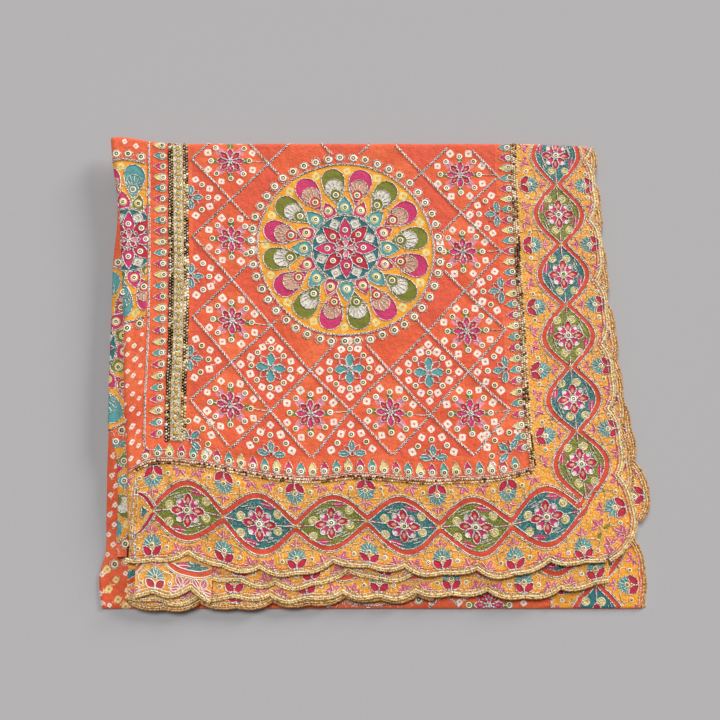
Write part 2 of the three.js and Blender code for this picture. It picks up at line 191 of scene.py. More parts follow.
# Creases, given one by one: each runs from x, y to x, y; a trough has a depth below 0.
CREASES = [
    # from x, y      to x, y        height width
    (-168, -92, -60, -101, -0.9, 5.0),
    (-30, -98, 40, -100, -0.5, 5.0),
    (-243, -60, -238, 60, -0.8, 4.0),
    (-226, 20, -229, 95, 0.6, 6.0),
    (-214, -84, -196, -140, -0.8, 6.0),
    (-150, -125, -128, -196, 0.9, 9.0),
    (-108, -128, -96, -200, -0.8, 9.0),
    (-60, -126, -44, -196, 0.8, 9.0),
    (-16, -122, -14, -192, -0.9, 10.0),
    (36, -124, 48, -200, 0.8, 9.0),
    (84, -126, 92, -200, -0.7, 9.0),
    (128, -120, 140, -200, 0.7, 9.0),
    (176, -92, 232, -120, 0.6, 9.0),
    (160, -20, 236, -44, -0.8, 9.0),
    (156, 40, 236, 22, 0.6, 9.0),
    (154, 104, 230, 90, -0.7, 9.0),
    (152, 170, 230, 158, 0.6, 9.0),
    (-120, 205, 60, 214, -0.6, 7.0),
    (-160, 20, -96, -58, 0.35, 9.0),
    (60, 30, 128, -62, -0.4, 10.0),
    (92, 196, 140, 120, 0.4, 9.0),
]
# Fine crinkles of crepe: waves with a length, a direction and a height of their own.
CRINKLES = [
    (2 * math.pi / length, math.radians(direction), phase, height)
    for length, direction, phase, height in (
        (61, 12, 0.3, 0.22), (43, 64, 1.9, 0.2), (29, 118, 4.1, 0.13), (22, 35, 2.2, 0.1),
        (17, 87, 5.0, 0.08), (13, 150, 0.9, 0.06), (10, 20, 3.3, 0.05), (8.5, 71, 1.2, 0.04),
    )
]


def relief(x, y):
    """How far the cloth rises and sinks about its ply: creases and crinkles."""
    total = 0 * x
    for frequency, direction, phase, height in CRINKLES:
        run = x * np.cos(direction) + y * np.sin(direction)
        total = total + height * np.sin(frequency * run + phase)
    place = x + 1j * y
    for ax, ay, bx, by, height, width in CREASES:
        a, ab = ax + 1j * ay, (bx - ax) + 1j * (by - ay)
        t = np.clip(((place - a) * np.conj(ab)).real / abs(ab) ** 2, 0, 1)
        away = abs(place - a - t * ab)
        total = total + height * np.exp(-((away / width) ** 2)) * (0.35 + 0.65 * np.sin(np.pi * t))
    return total


def ply_height(x, y, ply=0):
    """Height of the middle of a ply: 0 is the top ply, 1 the next one down."""
    level = (1 - smooth(FRONT_HIGH, FRONT_LOW, y)) * (1 - smooth(END_HIGH, END_LOW, x))
    return (PACK_HEIGHT - EDGE_DROP * (1 - level) + WAVE * np.sin(x / 61) * np.cos(y / 53) * level
            - ply * PLY_PITCH)


# ---- Where the flat cloth of the top ply lies

def end_edge(y):
    """The end border's edge, as it would be without its rounded corner."""
    return across.edge(np.maximum(y, -150))


def top_flat(x, y):
    """The place on the flat cloth of a point of the top ply, before it turns down at its folds."""
    band, line = across.band(y), across.line(y)
    p = np.where(x < band, x - band, np.where(
        x < line, (x - band) / (line - band) * PALLU,
        PALLU + (x - line) / (end_edge(y) - line) * BORDER))
    bead, back = along.line(x), along.back(x)
    q = np.where(y > bead, (y - bead) / (back - bead) * DEPTH,
                 (y - bead) / (bead - along.edge(x)) * BORDER)
    return p + 1j * q


def top_spread(flat):
    """The other way round: x and y of a place on the flat cloth."""
    p, q = flat.real, flat.imag
    x, y = p - 194, q - 110  # near enough to start from
    for _ in range(ROUNDS):
        band, line = across.band(y), across.line(y)
        x = np.where(p < 0, band + p, np.where(
            p < PALLU, lerp(band, line, p / PALLU),
            line + (p - PALLU) / BORDER * (end_edge(y) - line)))
        bead = along.line(x)
        y = np.where(q > 0, bead + (along.back(x) - bead) * q / DEPTH,
                     bead + (bead - along.edge(x)) * q / BORDER)
    return x, y


def turn_down(x, y, lift):
    """A point of the top ply, lift above its middle, with the ply turned down past its folds."""
    left, back = across.fold(y) + FOLD_RADIUS, along.back(x) - FOLD_RADIUS
    turn_x = np.clip((left - x) / FOLD_RADIUS, 0, math.pi / 2)
    turn_y = np.clip((y - back) / FOLD_RADIUS, 0, math.pi / 2)
    flat_x, flat_y = np.maximum(x, left), np.minimum(y, back)
    radius = FOLD_RADIUS + lift
    z = (ply_height(flat_x, flat_y) + relief(flat_x, flat_y)
         + radius * (np.cos(turn_x) + np.cos(turn_y) - 1) - FOLD_RADIUS)
    return flat_x - radius * np.sin(turn_x), flat_y + radius * np.sin(turn_y), z


def on_top(flat, lift):
    """x, y, z of places on the flat cloth, lift above the top ply's upper face."""
    return turn_down(*top_spread(flat), CLOTH / 2 + lift)


def on_top_seen(flat):
    """Which places lie on the flat of the pack or just over its folds."""
    x, y = top_spread(flat)
    return (x > across.fold(y) - 1.5) & (y < along.back(x) + 1.5)


# ---- Outlines, in millimetres on the flat cloth

def towards(degrees):
    return np.exp(1j * np.radians(degrees))


def leaf(length, width, points=7, blunt=0.8):
    """A pointed oval, from 0 to length."""
    s = np.linspace(0, 1, points)
    side = s * length + 0.5j * width * np.sin(np.pi * s) ** blunt
    return np.concatenate([side, np.conj(side[-2:0:-1])])


def teardrop(length, width, points=16):
    """Its tip is at 0 and its round end at length."""
    a = np.linspace(0, 2 * np.pi, points, endpoint=False)
    return length / 2 * (1 - np.cos(a)) + 0.65j * width * np.sin(a) * np.sin(a / 2)


def circle(radius, points=14):
    return radius * towards(360 * np.arange(points) / points)


def closed(outline):
    return np.append(outline, outline[0])


def stepped(line, step):
    """The same line with its points evenly spaced."""
    run = np.concatenate([[0], np.cumsum(abs(np.diff(line)))])
    places = np.linspace(0, run[-1], max(2, round(run[-1] / step) + 1))
    return np.interp(places, run, line.real) + 1j * np.interp(places, run, line.imag)


def runs(mask):
    """The stretches of a line where the mask holds."""
    cuts = np.flatnonzero(np.diff(mask.astype(int))) + 1
    return [part for part in np.split(np.arange(len(mask)), cuts) if mask[part[0]] and len(part) > 1]


EVERYWHERE = (-999, -999, 999, 999)
DOT = 3.45  # half the side of a tied dot
BRAID_STEP, BRAID_TWIST = 1.5, 7.2  # between a braid's points, and its length for one turn


class Stretch:
    """The dye and the needlework of one stretch of cloth, laid flat."""

    def __init__(self, *frame):
        self.dyed = []  # dye, closed outline, outline cut out of it
        self.strokes = []  # dye, line, half its width
        self.knots = []  # tied dots: place, half side, turn in degrees, whether straw
        self.stitches = {"silver": [], "fine": []}
        self.ropes = []  # strands of braid: line, height of each point
        self.sequins = []  # place, size
        self.frame = frame or EVERYWHERE  # left, low, right, high: what lies outside isn't worked

    def holds(self, place):
        left, low, right, high = self.frame
        return (place.real > left) & (place.real < right) & (place.imag > low) & (place.imag < high)

    def shape(self, dye, outline, thread="silver", bite=None):
        left, low, right, high = self.frame
        if self.holds(outline).any() or self.holds(outline.mean()):
            cut = np.clip(outline.real, left, right) + 1j * np.clip(outline.imag, low, high)
            if dye:
                self.dyed.append((dye, cut, bite))
            if thread:
                self.sew(closed(outline), thread, 1.9)

    def sew(self, line, thread="silver", step=2.1):
        line = stepped(line, step)
        self.stitches[thread] += [line[run] for run in runs(self.holds(line))]

    def stroke(self, dye, line, half_width):
        line = stepped(line, 3)
        self.strokes += [(dye, line[run], half_width) for run in runs(self.holds(line))]

    def knot(self, place, half, turn, straw=False):
        if self.holds(place):
            half *= chance.uniform(0.9, 1.08)
            self.knots.append((place, half, turn + chance.uniform(-9, 9), straw))

    def sequin(self, place, size=1.0):
        if self.holds(place):
            self.sequins.append((place, size))

    def rope(self, line):
        """Two strands that wind round each other."""
        line = stepped(line, BRAID_STEP)
        ahead = np.gradient(line)
        aside = 1j * ahead / abs(ahead)
        phase = np.arange(len(line)) * BRAID_STEP / BRAID_TWIST * 2 * np.pi
        for run in runs(self.holds(line)):
            for turn in (0, np.pi):
                strand = line + aside * 0.95 * np.cos(phase + turn)
                self.ropes.append((strand[run], 0.35 * np.sin(phase + turn)[run]))


# ---- Motifs

def pink_flower(cloth, at, stem=True):
    """Eight petals, four leaves, and a ring of sequins and tied dots."""
    for k in range(4):
        cloth.shape("blush", at + (8 + leaf(13, 9)) * towards(45 + 90 * k), None)
        cloth.sew(at + np.array([14, 20.5]) * towards(45 + 90 * k), "fine")
        cloth.shape("olive", at + (11 + leaf(13, 6.6)) * towards(90 * k), None)
        cloth.sew(at + np.array([13, 23]) * towards(90 * k), "fine")
    for k in range(8):
        way = towards(45 * k)
        dye, length, eye = ("crimson", 11.8, 20.4) if k % 2 else ("magenta", 12.8, 19.8)
        cloth.shape(dye, at + (2 + leaf(length, 7, 8, 0.7)) * way)
        cloth.shape("rose", at + (6 + leaf(4.6, 1.8, 5)) * way, None)
        cloth.sequin(at + eye * way)
        cloth.knot(at + 24.8 * towards(22.5 + 45 * k), DOT, 45 + 45 * k)
        cloth.sew(at + np.array([0.3, 2.4]) * towards(45 * k + 22.5), "silver", 1.6)
    if stem:
        cloth.sew(at + np.array([23, 31, 39]) + np.array([0, -0.8j, 0]), "silver")


def teal_flower(cloth, at):
    """Four filled petals, four open loops, sequins and tied dots."""
    for k in range(4):
        way, between = towards(90 * k), towards(45 + 90 * k)
        cloth.shape("teal", at + (1.8 + leaf(13.4, 8.6, 8, 0.65)) * way)
        cloth.shape("peacock", at + (4.5 + leaf(8, 2.6, 5)) * way, None)
        cloth.shape("blush", at + (3.5 + leaf(11.5, 6.6)) * between, "silver")
        cloth.shape("tomato", at + (5 + leaf(8.5, 4.6)) * between, None)
        cloth.sew(at + np.array([0.4, 4.2]) * between, "silver", 1.6)
        cloth.sequin(at + 19.6 * way)
        cloth.sequin(at + 19.2 * between)
        cloth.knot(at + (28 if k % 2 else 30) * way, DOT, 45)
    for k in range(8):
        cloth.knot(at + 21.8 * towards(22.5 + 45 * k), DOT, 20 + 45 * k)


def half_flower(cloth, at, direction):
    """What is left of a teal flower where its cell meets the edge of the lattice."""
    for turn, length in ((-84, 12), (0, 11.5), (84, 12)):
        cloth.shape("teal", at + (2 + leaf(length, 6.4, 7, 0.7)) * towards(direction + turn))
        cloth.sew(at + np.array([5, length]) * towards(direction + turn), "fine")
    for turn in (-42, 42):
        cloth.shape("tomato", at + (3 + leaf(8.5, 4.4)) * towards(direction + turn), "fine")
    cloth.shape("crimson", at + circle(2.2, 8), "fine")
    for turn in (-50, 0, 50):
        cloth.sequin(at + 18.6 * towards(direction + turn))
    for turn in (-74, -26, 26, 74):
        cloth.knot(at + (23.5 - abs(turn) / 30) * towards(direction + turn), DOT, 45 + turn)
    cloth.knot(at + 28.5 * towards(direction), DOT, 45)


# Of a drop: the dyes of its fan and of its eye.
DROPS = {"olive": ("pearl", None), "magenta": ("rose", "tomato"), "teal": ("blush", "magenta")}


def mandala(cloth, at, turn=9.0, size=1.0, dyes=("olive", "magenta"), petals=("teal", "magenta")):
    """A dyed disc of sixteen drops round a star, with a ring of sequins."""
    cloth.shape("saffron", at + size * circle(89.5, 96), None)
    cloth.rope(at + size * closed(circle(90.4, 220)))
    count = round(47 * size)
    for k in range(count):
        place = at + size * 97 * towards(360 * k / count)
        cloth.sequin(place, 1.2)
        cloth.sew(place + closed(circle(4.7, 12) * (1 + 0.09 * (-1) ** np.arange(12))), "fine", 2.2)
    for k in range(16):
        way = size * towards(turn + 22.5 * k)
        eye = at + (57.6 + circle(6.0)) * way
        cloth.shape(dyes[k % 2], at + (46.5 + teardrop(39.5, 24, 22)) * way)
        fan, eye_dye = DROPS[dyes[k % 2]]
        cloth.shape(fan, at + (66 + circle(8.6)) * way, None, eye)
        if eye_dye:
            cloth.shape(eye_dye, eye, None)
        cloth.sew(closed(eye), "fine")
        cloth.sew(at + (66 + 8.8 * towards(np.linspace(-118, 118, 13))) * way, "fine")
        for ray in range(-4, 5):
            tip = 12.6 + 3.4 * math.cos(ray * 0.36)
            cloth.sew(at + (57.6 + np.array([6.8, tip]) * towards(ray * 19)) * way, "fine")
        cloth.sequin(at + 57.4 * way, 1.08)
        cloth.sew(at + np.array([40, 46.5]) * way)
        cloth.knot(at + 82.4 * size * towards(turn + 11.25 + 22.5 * k), 3.9, 45 + 22.5 * k, True)
        way = size * towards(turn - 9 + 22.5 * k)
        tip, width = (53, 14) if k % 2 else (55.5, 16)
        cloth.shape(petals[k % 2], at + (tip - teardrop(tip - 34, width)) * way)
        cloth.shape("straw", at + (43 + circle(4.5)) * way, None)
        cloth.sequin(at + 43 * way, 1.02)
    cloth.shape("peacock", at + size * circle(34.2, 48), None)
    wobble = 1 + 0.015 * np.sin(np.arange(90) * 1.7)
    for radius in (34.2, 36):
        cloth.sew(at + size * closed(circle(radius, 90) * wobble), "silver", 2.0)
    for k in range(8):
        way = size * towards(22.5 + 45 * k)
        cloth.shape("pearl", at + 27.4 * way + circle(6.0, 4) * towards(45 * k + 22.5), "fine")
        cloth.sew(at + 27.4 * way + closed(circle(2, 4)) * way, "fine", 1.5)
        way = size * towards(45 * k)
        cloth.shape("crimson" if k % 2 else "magenta", at + (32.6 - teardrop(23.5, 13.2)) * way)
        cloth.sequin(at + 18.6 * way)
        cloth.shape("crimson" if k % 2 else "blush", at + (1.6 + leaf(11.6, 5.6, 8, 0.7)) * way)
        cloth.sew(at + np.array([0.5, 5]) * towards(22.5 + 45 * k), "silver", 1.6)


def drop_row(cloth, start, step, count, inward):
    """A row of drops beside a bead line, their tips inwards, a sequin on each round end."""
    way = towards(inward)
    for k in range(count):
        base = start + k * step
        cloth.shape(("magenta", "teal", "straw")[k % 3], base + (13.6 - teardrop(13.6, 8.4)) * way, "fine")
        cloth.shape("straw", base + (3.9 + circle(3.3, 10)) * way, None)
        cloth.sequin(base + 3.9 * way, 0.97)


def sprig(cloth, at, direction, size=1.0):
    """Three pink petals on a stalk."""
    for turn, length in ((-64, 7.2), (0, 8.4), (64, 7.2)):
        way = size * towards(direction + turn)
        cloth.shape("pink", at + (1.2 + leaf(length, 4.4, 6)) * way, "fine" if size > 1.2 else None)
        cloth.sew(at + np.array([1.2, length + 1.4]) * way, "fine", 2.2)
    cloth.sew(at + size * np.array([-5, -2.4 + 0.7j, 0]) * towards(direction), "fine")


def tendril(cloth, at, direction, side, length=13.0):
    """A curled stem, with a green stroke for its leaf."""
    s = np.linspace(0, 1, 9)
    curl = at + (length * s + 1j * side * 3.6 * np.sin(s * 4.2)) * towards(direction)
    cloth.sew(curl, "fine", 1.8)
    cloth.shape("olive", curl[4] + leaf(7.6, 4.4, 5) * towards(direction + 58 * side), None)


def lotus(cloth, node_at, direction, bloom=1.0):
    """What fills the valley between two ogees, from the node of the chain towards the edge."""
    way = towards(direction)
    sprig(cloth, node_at + 19.5 * way, direction + 180, 0.85)
    for turn in (-78, -47, -16, 16, 47, 78):
        petal_way = towards(direction + 180 + turn)
        petal = (1.6 + leaf(10.4 - abs(turn) / 40, 4, 6)) * petal_way
        cloth.shape("teal", node_at + 31 * way + petal, None)
        cloth.sew(node_at + 31 * way + np.array([3, 10]) * petal_way, "fine", 2.0)
    cloth.shape("straw", node_at + (30.4 + circle(2.6, 8)) * way, None)
    for side in (-1, 1):
        cloth.shape("crimson", node_at + (41.4 + leaf(13.6, 7.4) * towards(180 + 42 * side)) * way)
        tendril(cloth, node_at + (31 + 15.5j * side) * way, direction + 212 * side, -side, 12)
        tendril(cloth, node_at + (40.5 + 14j * side) * way, direction + 84 * side, -side, 9)
        cloth.sequin(node_at + (33.5 + 14j * side) * way, 0.72)
        sprig(cloth, node_at + (38.5 + 26.0j * side) * way, direction + 180 + 24 * side, bloom)
    cloth.sequin(node_at + 30.6 * way, 0.78)


def ogee(cloth, at, pitch, direction, dye):
    """One almond of the chain, between two nodes: a ribbon, a dyed ground and a flower."""
    way = towards(direction)
    s = np.linspace(-0.5, 0.5, 41)
    rise = 3.5 + 21.9 * np.cos(np.pi * s) ** 1.12
    inner = (s * pitch + 1j * np.maximum(rise - 2.4, 0))[1:-1]
    cloth.shape(dye, at + np.concatenate([inner, np.conj(inner[::-1])]) * way, None)
    for up in (1, -1):
        cloth.stroke("tomato", at + (s * pitch + 1j * up * rise) * way, 2.1)
        for inset, thread in ((2.9, "silver"), (-2.9, "silver"), (-4.6, "fine")):
            run = s * pitch * (1 - max(inset, 0) / 70)
            cloth.sew(at + (run + 1j * up * np.maximum(rise - inset, 0.9)) * way, thread)
    for k in range(4):
        turn, between = towards(90 * k), towards(45 + 90 * k)
        cloth.shape("magenta", at + (3.4 + leaf(11, 8, 7, 0.6)) * between * way)
        cloth.shape("pearl", at + (11.6 + circle(2.4, 8)) * between * way, None)
        cloth.shape("crimson", at + (3.6 + leaf(13, 8, 8, 0.7)) * turn * way)
        cloth.shape("rose", at + (6 + leaf(6.4, 3, 5)) * turn * way, None)
    for place in (17.6 + 10.6j, 17.4 - 4.8j, -17.6 - 10.6j, -17.4 + 4.8j):
        place = at + place * way
        cloth.shape("straw", place + circle(4.3, 12), None)
        turns = np.linspace(0, 1, 13)
        cloth.sew(place + (3.8 - 2.8 * turns) * towards(turns * 520), "fine", 1.5)
    for flip in (1, -1):
        cloth.shape("magenta", at + flip * ((1 + 18.8j) + leaf(15.5, 5.6) * towards(-9)) * way, None)
        cloth.sew(at + flip * ((1 + 18.8j) + np.array([0, 14]) * towards(-9)) * way, "fine")
        for step in (0, 4.4):
            ray = -17 + step + 1j * (13 - step * 0.2) + np.array([0, 9 + 3j])
            cloth.sew(at + flip * ray * way, "fine", 1.7)
        cloth.sew(at + flip * (-8 + 12j + np.array([-6 - 1j, 0, 5 + 3j])) * way, "fine", 1.7)
        cloth.shape("crimson", at + flip * (24 + leaf(7, 3.4, 5)) * way, None)
        cloth.sew(at + flip * np.array([15, 33]) * way)
    cloth.shape("cream", at + circle(4, 10), None)
    cloth.sequin(at)


def border(cloth, first, pitch, count, direction, dyes, sides=(1, -1), bloom=1.0):
    """A chain of ogees with its lotuses. first is the first ogee's middle."""
    way = towards(direction)
    for k in range(count):
        ogee(cloth, first + k * pitch * way, pitch, direction, dyes[k % 2])
    for k in range(count + 1):
        for side in sides:
            lotus(cloth, first + (k - 0.5) * pitch * way, direction + 90 * side, bloom)


# ---- The pallu, the start of the body, and the borders of the top ply

def lattice(u, v):
    """Flowers stand at whole u and v, and at the halves. The rows draw together towards the end."""
    return 54 + 79 * u + 1j * (64.8 + v * (87.3 - 1.55 * (u + 0.48)))


MANDALA, MANDALA_LEFT = 171 + 231.5j, -51.5 + 236.5j
MANDALA_CLEAR = 101  # the braids of the lattice stop this far from its middle
field = Stretch()
for k in range(-4, 8):
    for rises in (1, -1):
        u = np.linspace(-0.5, 3.5, 160)
        v = rises * (u - k - 0.5)
        line = lattice(u, v)
        for run in runs((v > -0.501) & (v < 3.35) & (abs(line - MANDALA) > MANDALA_CLEAR)):
            field.rope(line[run])
# The cells of the teal flowers, and those about the mandala, are dyed a little darker.
field.frame = (14.5, 24, 328, 360)
for column in range(-1, 4):
    for row in range(-1, 4):
        ring = np.array([0.5, 0.5j, -0.5, -0.5j]) + column + 0.5 + 1j * (row + 0.5)
        field.shape("brick", lattice(ring.real, ring.imag), None)
field.frame = EVERYWHERE
for column in range(4):
    for row in range(4):
        if column in (0, 3) or row == 0:
            pink_flower(field, lattice(column, row))
for column in range(3):
    for row in range(3):
        if abs(lattice(column + 0.5, row + 0.5) - MANDALA) > 118:
            teal_flower(field, lattice(column + 0.5, row + 0.5))
for row in range(3):
    half_flower(field, 12 + 1j * lattice(-0.5, row + 0.5).imag, 0)
    half_flower(field, 328.5 + 1j * lattice(3.5, row + 0.5).imag, 180)
for column in range(3):
    half_flower(field, lattice(column + 0.5, 0).real + 22.5j, 90)
half_flower(field, 14 + 24j, 45)
half_flower(field, 326 + 24j, 135)
mandala(field, MANDALA)
drop_row(field, -28.4 + 4.8j, 11.55, 32, 90)
drop_row(field, 345 + 24.9j, 11.25j, 30, 180)
drop_row(field, -12.2 + 29j, 12j, 28, 180)
for aside, thread in ((-29.8, "silver"), (-31.0, "fine")):
    field.sew(np.array([-9 + 12.5j, -20 + 12.5j, -26 + 14j, aside + 20j, aside + 352j]), thread)
for q in (2.5, 4.1):
    field.sew(np.array([-62 + 1j * q, PALLU - 3 + 1j * q]), "fine", 2.4)
field.stroke("crimson", np.array([-62 + 3.3j, PALLU - 3 + 3.3j]), 0.8)
field.frame = (-120, -5, -32.5, 400)
mandala(field, MANDALA_LEFT, 17.5, 0.93, ("magenta", "teal"), ("magenta", "olive"))
for column in range(5):
    for row in range(24):
        place = -36.5 - 6.7 * column + 1j * (6 + 16.2 * row + (8.1 if column % 2 else 0))
        if abs(place - MANDALA_LEFT) > 97:
            place += chance.uniform(-1, 1) + 1j * chance.uniform(-1.6, 1.6)
            field.knot(place, 1.9 + 0.5 * (column % 2), 45)

# The front chain's ogee pitch, first ogee and first node, and the end chain's pitch and middle.
FRONT_OGEE, FIRST_OGEE = 68.2, 13 - 43.8j
FIRST_NODE = FIRST_OGEE - FRONT_OGEE / 2
END_OGEE, END_MIDDLE = 66.5, 394.3
borders = Stretch(-80, -100, 387, -1)
border(borders, FIRST_OGEE, FRONT_OGEE, 6, 0, ("olive", "peacock"), sides=())
# Past its first node the chain is drawn together, where the ply turns down at its fold.
for up in (1, -1):
    rib = FIRST_NODE - np.array([0, 3, 6.5, 11, 17]) + 1j * up * np.array([3.5, 8, 13, 17.5, 20.5])
    borders.stroke("crimson", rib, 1.5)
    for aside in (-2.4, 2.2, 4.0):
        borders.sew(rib + aside, "silver")
borders.shape("peacock", -24.5 - 43.8j - np.array([0, 7 + 6j, 7 - 6j]))
for aside, thread in ((-36.8, "fine"), (-39.4, "silver"), (-42, "fine")):
    gather = np.arange(-88, -8, 2.0)
    borders.sew(aside + 1.1 * np.sin(gather * (0.3 + 0.01 * aside)) + 1j * gather, thread, 2.6)
borders.frame = (-80, -100, 999, -1)
for k in range(6):
    for side in (90, -90):
        lotus(borders, FIRST_NODE + FRONT_OGEE * k, side)
borders.frame = (PALLU + 1, -100, 999, 999)
for k in range(6):
    ogee(borders, END_MIDDLE + 1j * (-0.6 + END_OGEE * k), END_OGEE, 90, ("olive", "peacock")[k % 2])
    for side in (0, 180):
        lotus(borders, END_MIDDLE + 1j * (32.6 + END_OGEE * k), side)
borders.frame = (-999, -999, 999, -1)
lotus(borders, 389 - 43j, 0)
lotus(borders, 386 - 46j, -90)
for place, direction in ((401 - 27j, 60), (403 - 59j, 130), (413 - 76j, 120), (424 - 66j, 150)):
    sprig(borders, place, direction)
# Where the two chains meet, their ribbons join.
for rib in ((383 - 39.2j, 387.5 - 38.6j, 390.5 - 34j),
            (383 - 48.6j, 389.5 - 45.5j, 394 - 40j, 398.5 - 33j)):
    borders.stroke("tomato", np.array(rib), 2.1)
    for aside in (2.9j, -2.9j):
        borders.sew(np.array(rib) + aside, "silver")
borders.frame = EVERYWHERE


# ---- Dye and needlework onto meshes

# The dyes in the order that they cover each other, with their colours.
DYES = {
    "brick": "#ea5c3b", "saffron": "#fba92f", "olive": "#7f8023", "peacock": "#2c7378", "blush": "#f08fa0",
    "pink": "#e25f84", "magenta": "#d6336b", "tomato": "#dc4a2e", "crimson": "#c4213a", "teal": "#5ea3a3",
    "straw": "#f3dd8e", "rose": "#dda487", "pearl": "#ece4d6", "cream": "#fff1e0",
}
ORANGE, YELLOW = ("#fb7443", "#eb5c34"), ("#fbae38", "#f39f2c")  # grounds: light, dark
REACH, DOT_REACH = 3.0, 4  # how far from an outline its distance is kept, and from a tied dot
TUCK, TUCK_REACH = 0.3, 1.7  # how deep the needlework pulls the cloth, and how far from itself


def distance_to_line(points, line):
    a, ab = line[:-1], np.diff(line)
    from_a = points[:, None] - a
    t = np.clip((from_a * np.conj(ab)).real / np.maximum(abs(ab) ** 2, 1e-9), 0, 1)
    return abs(from_a - t * ab).min(axis=1)


def inside_by(points, outline):
    """How far inside a closed outline each point lies, and below 0 outside it."""
    loop = closed(outline)
    a, b = loop[:-1], loop[1:]
    level = points.imag[:, None]
    with np.errstate(divide="ignore", invalid="ignore"):
        crossing = ((a.imag > level) != (b.imag > level)) & (
            points.real[:, None] < (b - a).real * (level - a.imag) / (b - a).imag + a.real)
    away = distance_to_line(points, loop)
    return np.where(crossing.sum(axis=1) % 2 == 1, away, -away)


def near(points, outline, reach=REACH):
    """Which points lie in an outline's box, or within reach of it."""
    return np.flatnonzero(
        (points.real > outline.real.min() - reach) & (points.real < outline.real.max() + reach)
        & (points.imag > outline.imag.min() - reach) & (points.imag < outline.imag.max() + reach))


def tree_of(points):
    tree = KDTree(len(points))
    for i, point in enumerate(points):
        tree.insert((point.real, point.imag, 0), i)
    tree.balance()
    return tree


def set_attribute(mesh, name, kind, values):
    field_name = "vector" if kind == "FLOAT_VECTOR" else "value"
    mesh.attributes.new(name, kind, "POINT").data.foreach_set(field_name, np.ravel(values))


def dye_mesh(mesh, flat, stretch):
    """Writes a stretch's dyes to a mesh, as distances to their outlines, and its tied dots."""
    amounts = {}

    def spread(dye, found, amount):
        layer = amounts.setdefault(dye, np.full(len(flat), -REACH))
        layer[found] = np.maximum(layer[found], amount)

    for dye, outline, bite in stretch.dyed:
        found = near(flat, outline)
        if len(found):
            amount = inside_by(flat[found], outline)
            if bite is not None:
                amount = np.minimum(amount, -inside_by(flat[found], bite))
            spread(dye, found, amount)
    for dye, line, half_width in stretch.strokes:
        found = near(flat, line, half_width + REACH)
        if len(found):
            spread(dye, found, half_width - distance_to_line(flat[found], line))
    for dye, amount in amounts.items():
        set_attribute(mesh, "dye_" + dye, "FLOAT", amount)
    places = np.array([place for place, *_ in stretch.knots])
    knots = [stretch.knots[i] for i in near(places, flat, DOT_REACH)] if len(places) else []
    if knots:
        tree = tree_of([place for place, *_ in knots])
        local, straw = np.zeros((len(flat), 3)), np.zeros(len(flat))
        for n, point in enumerate(flat):
            _, i, away = tree.find((point.real, point.imag, 0))
            place, half, turn, is_straw = knots[i]
            spot = (point - place) * towards(-turn) / half
            local[n] = spot.real, spot.imag, away / half
            straw[n] = is_straw
        set_attribute(mesh, "knot", "FLOAT_VECTOR", local)
        set_attribute(mesh, "knot_straw", "FLOAT", straw)
    return sorted(amounts, key=list(DYES).index), bool(knots)


def pulled(stretch, flat):
    """How far the needlework pulls the cloth down beside it."""
    lines = [line for kind in stretch.stitches.values() for line in kind]
    lines += [line for line, _ in stretch.ropes]
    if not lines:
        return np.zeros(len(flat))
    tree = tree_of(np.concatenate(lines))
    away = np.array([tree.find((point.real, point.imag, 0))[2] for point in flat])
    return -TUCK * np.exp(-((away / TUCK_REACH) ** 2))


# ---- Materials

def colour(hex_code):
    """An sRGB hex colour, as linear values."""
    parts = [int(hex_code[i:i + 2], 16) / 255 for i in (1, 3, 5)]
    return (*[c / 12.92 if c <= 0.04045 else ((c + 0.055) / 1.055) ** 2.4 for c in parts], 1.0)


def feed(tree, made, inputs):
    """Sets a node's inputs to values, or links them to other nodes' outputs."""
    for key, value in inputs.items():
        if isinstance(value, bpy.types.NodeSocket):
            tree.links.new(value, made.inputs[key])
        else:
            made.inputs[key].default_value = value


def node(tree, kind, inputs, **settings):
    """Adds a node with its settings and inputs."""
    made = tree.nodes.new("ShaderNode" + kind)
    for name, value in settings.items():
        setattr(made, name, value)
    feed(tree, made, inputs)
    return made


def new_material(name):
    material = bpy.data.materials.new(name)
    material.use_nodes = True
    return material, material.node_tree


def shaded(material, inputs):
    """Feeds a material's shader."""
    tree = material.node_tree
    feed(tree, tree.nodes["Principled BSDF"], inputs)
    return material


def attribute(tree, name, output="Fac"):
    return node(tree, "Attribute", {}, attribute_name=name).outputs[output]


def object_place(tree):
    return node(tree, "TexCoord", {}).outputs["Object"]


def mix(tree, factor, a, b, blend="MIX"):
    """A Mix node for colours: its colour sockets are the seventh and eighth."""
    return node(tree, "Mix", {0: factor, 6: a, 7: b}, data_type="RGBA", blend_type=blend).outputs[2]


def maths(tree, operation, *values):
    return node(tree, "Math", dict(enumerate(values)), operation=operation).outputs[0]


def ramp(tree, value, low, high, to_low=0.0, to_high=1.0):
    return node(tree, "MapRange", {"Value": value, "From Min": low, "From Max": high,
                                   "To Min": to_low, "To Max": to_high}).outputs[0]


def noise(tree, place, scale, detail=2.0, roughness=0.5):
    return node(tree, "TexNoise", {"Vector": place, "Scale": scale, "Detail": detail,
                                   "Roughness": roughness}).outputs["Fac"]


def bumped(tree, height, strength, distance, **under):
    return node(tree, "Bump", {"Height": height, "Strength": strength, "Distance": distance,
                               **under}).outputs[0]


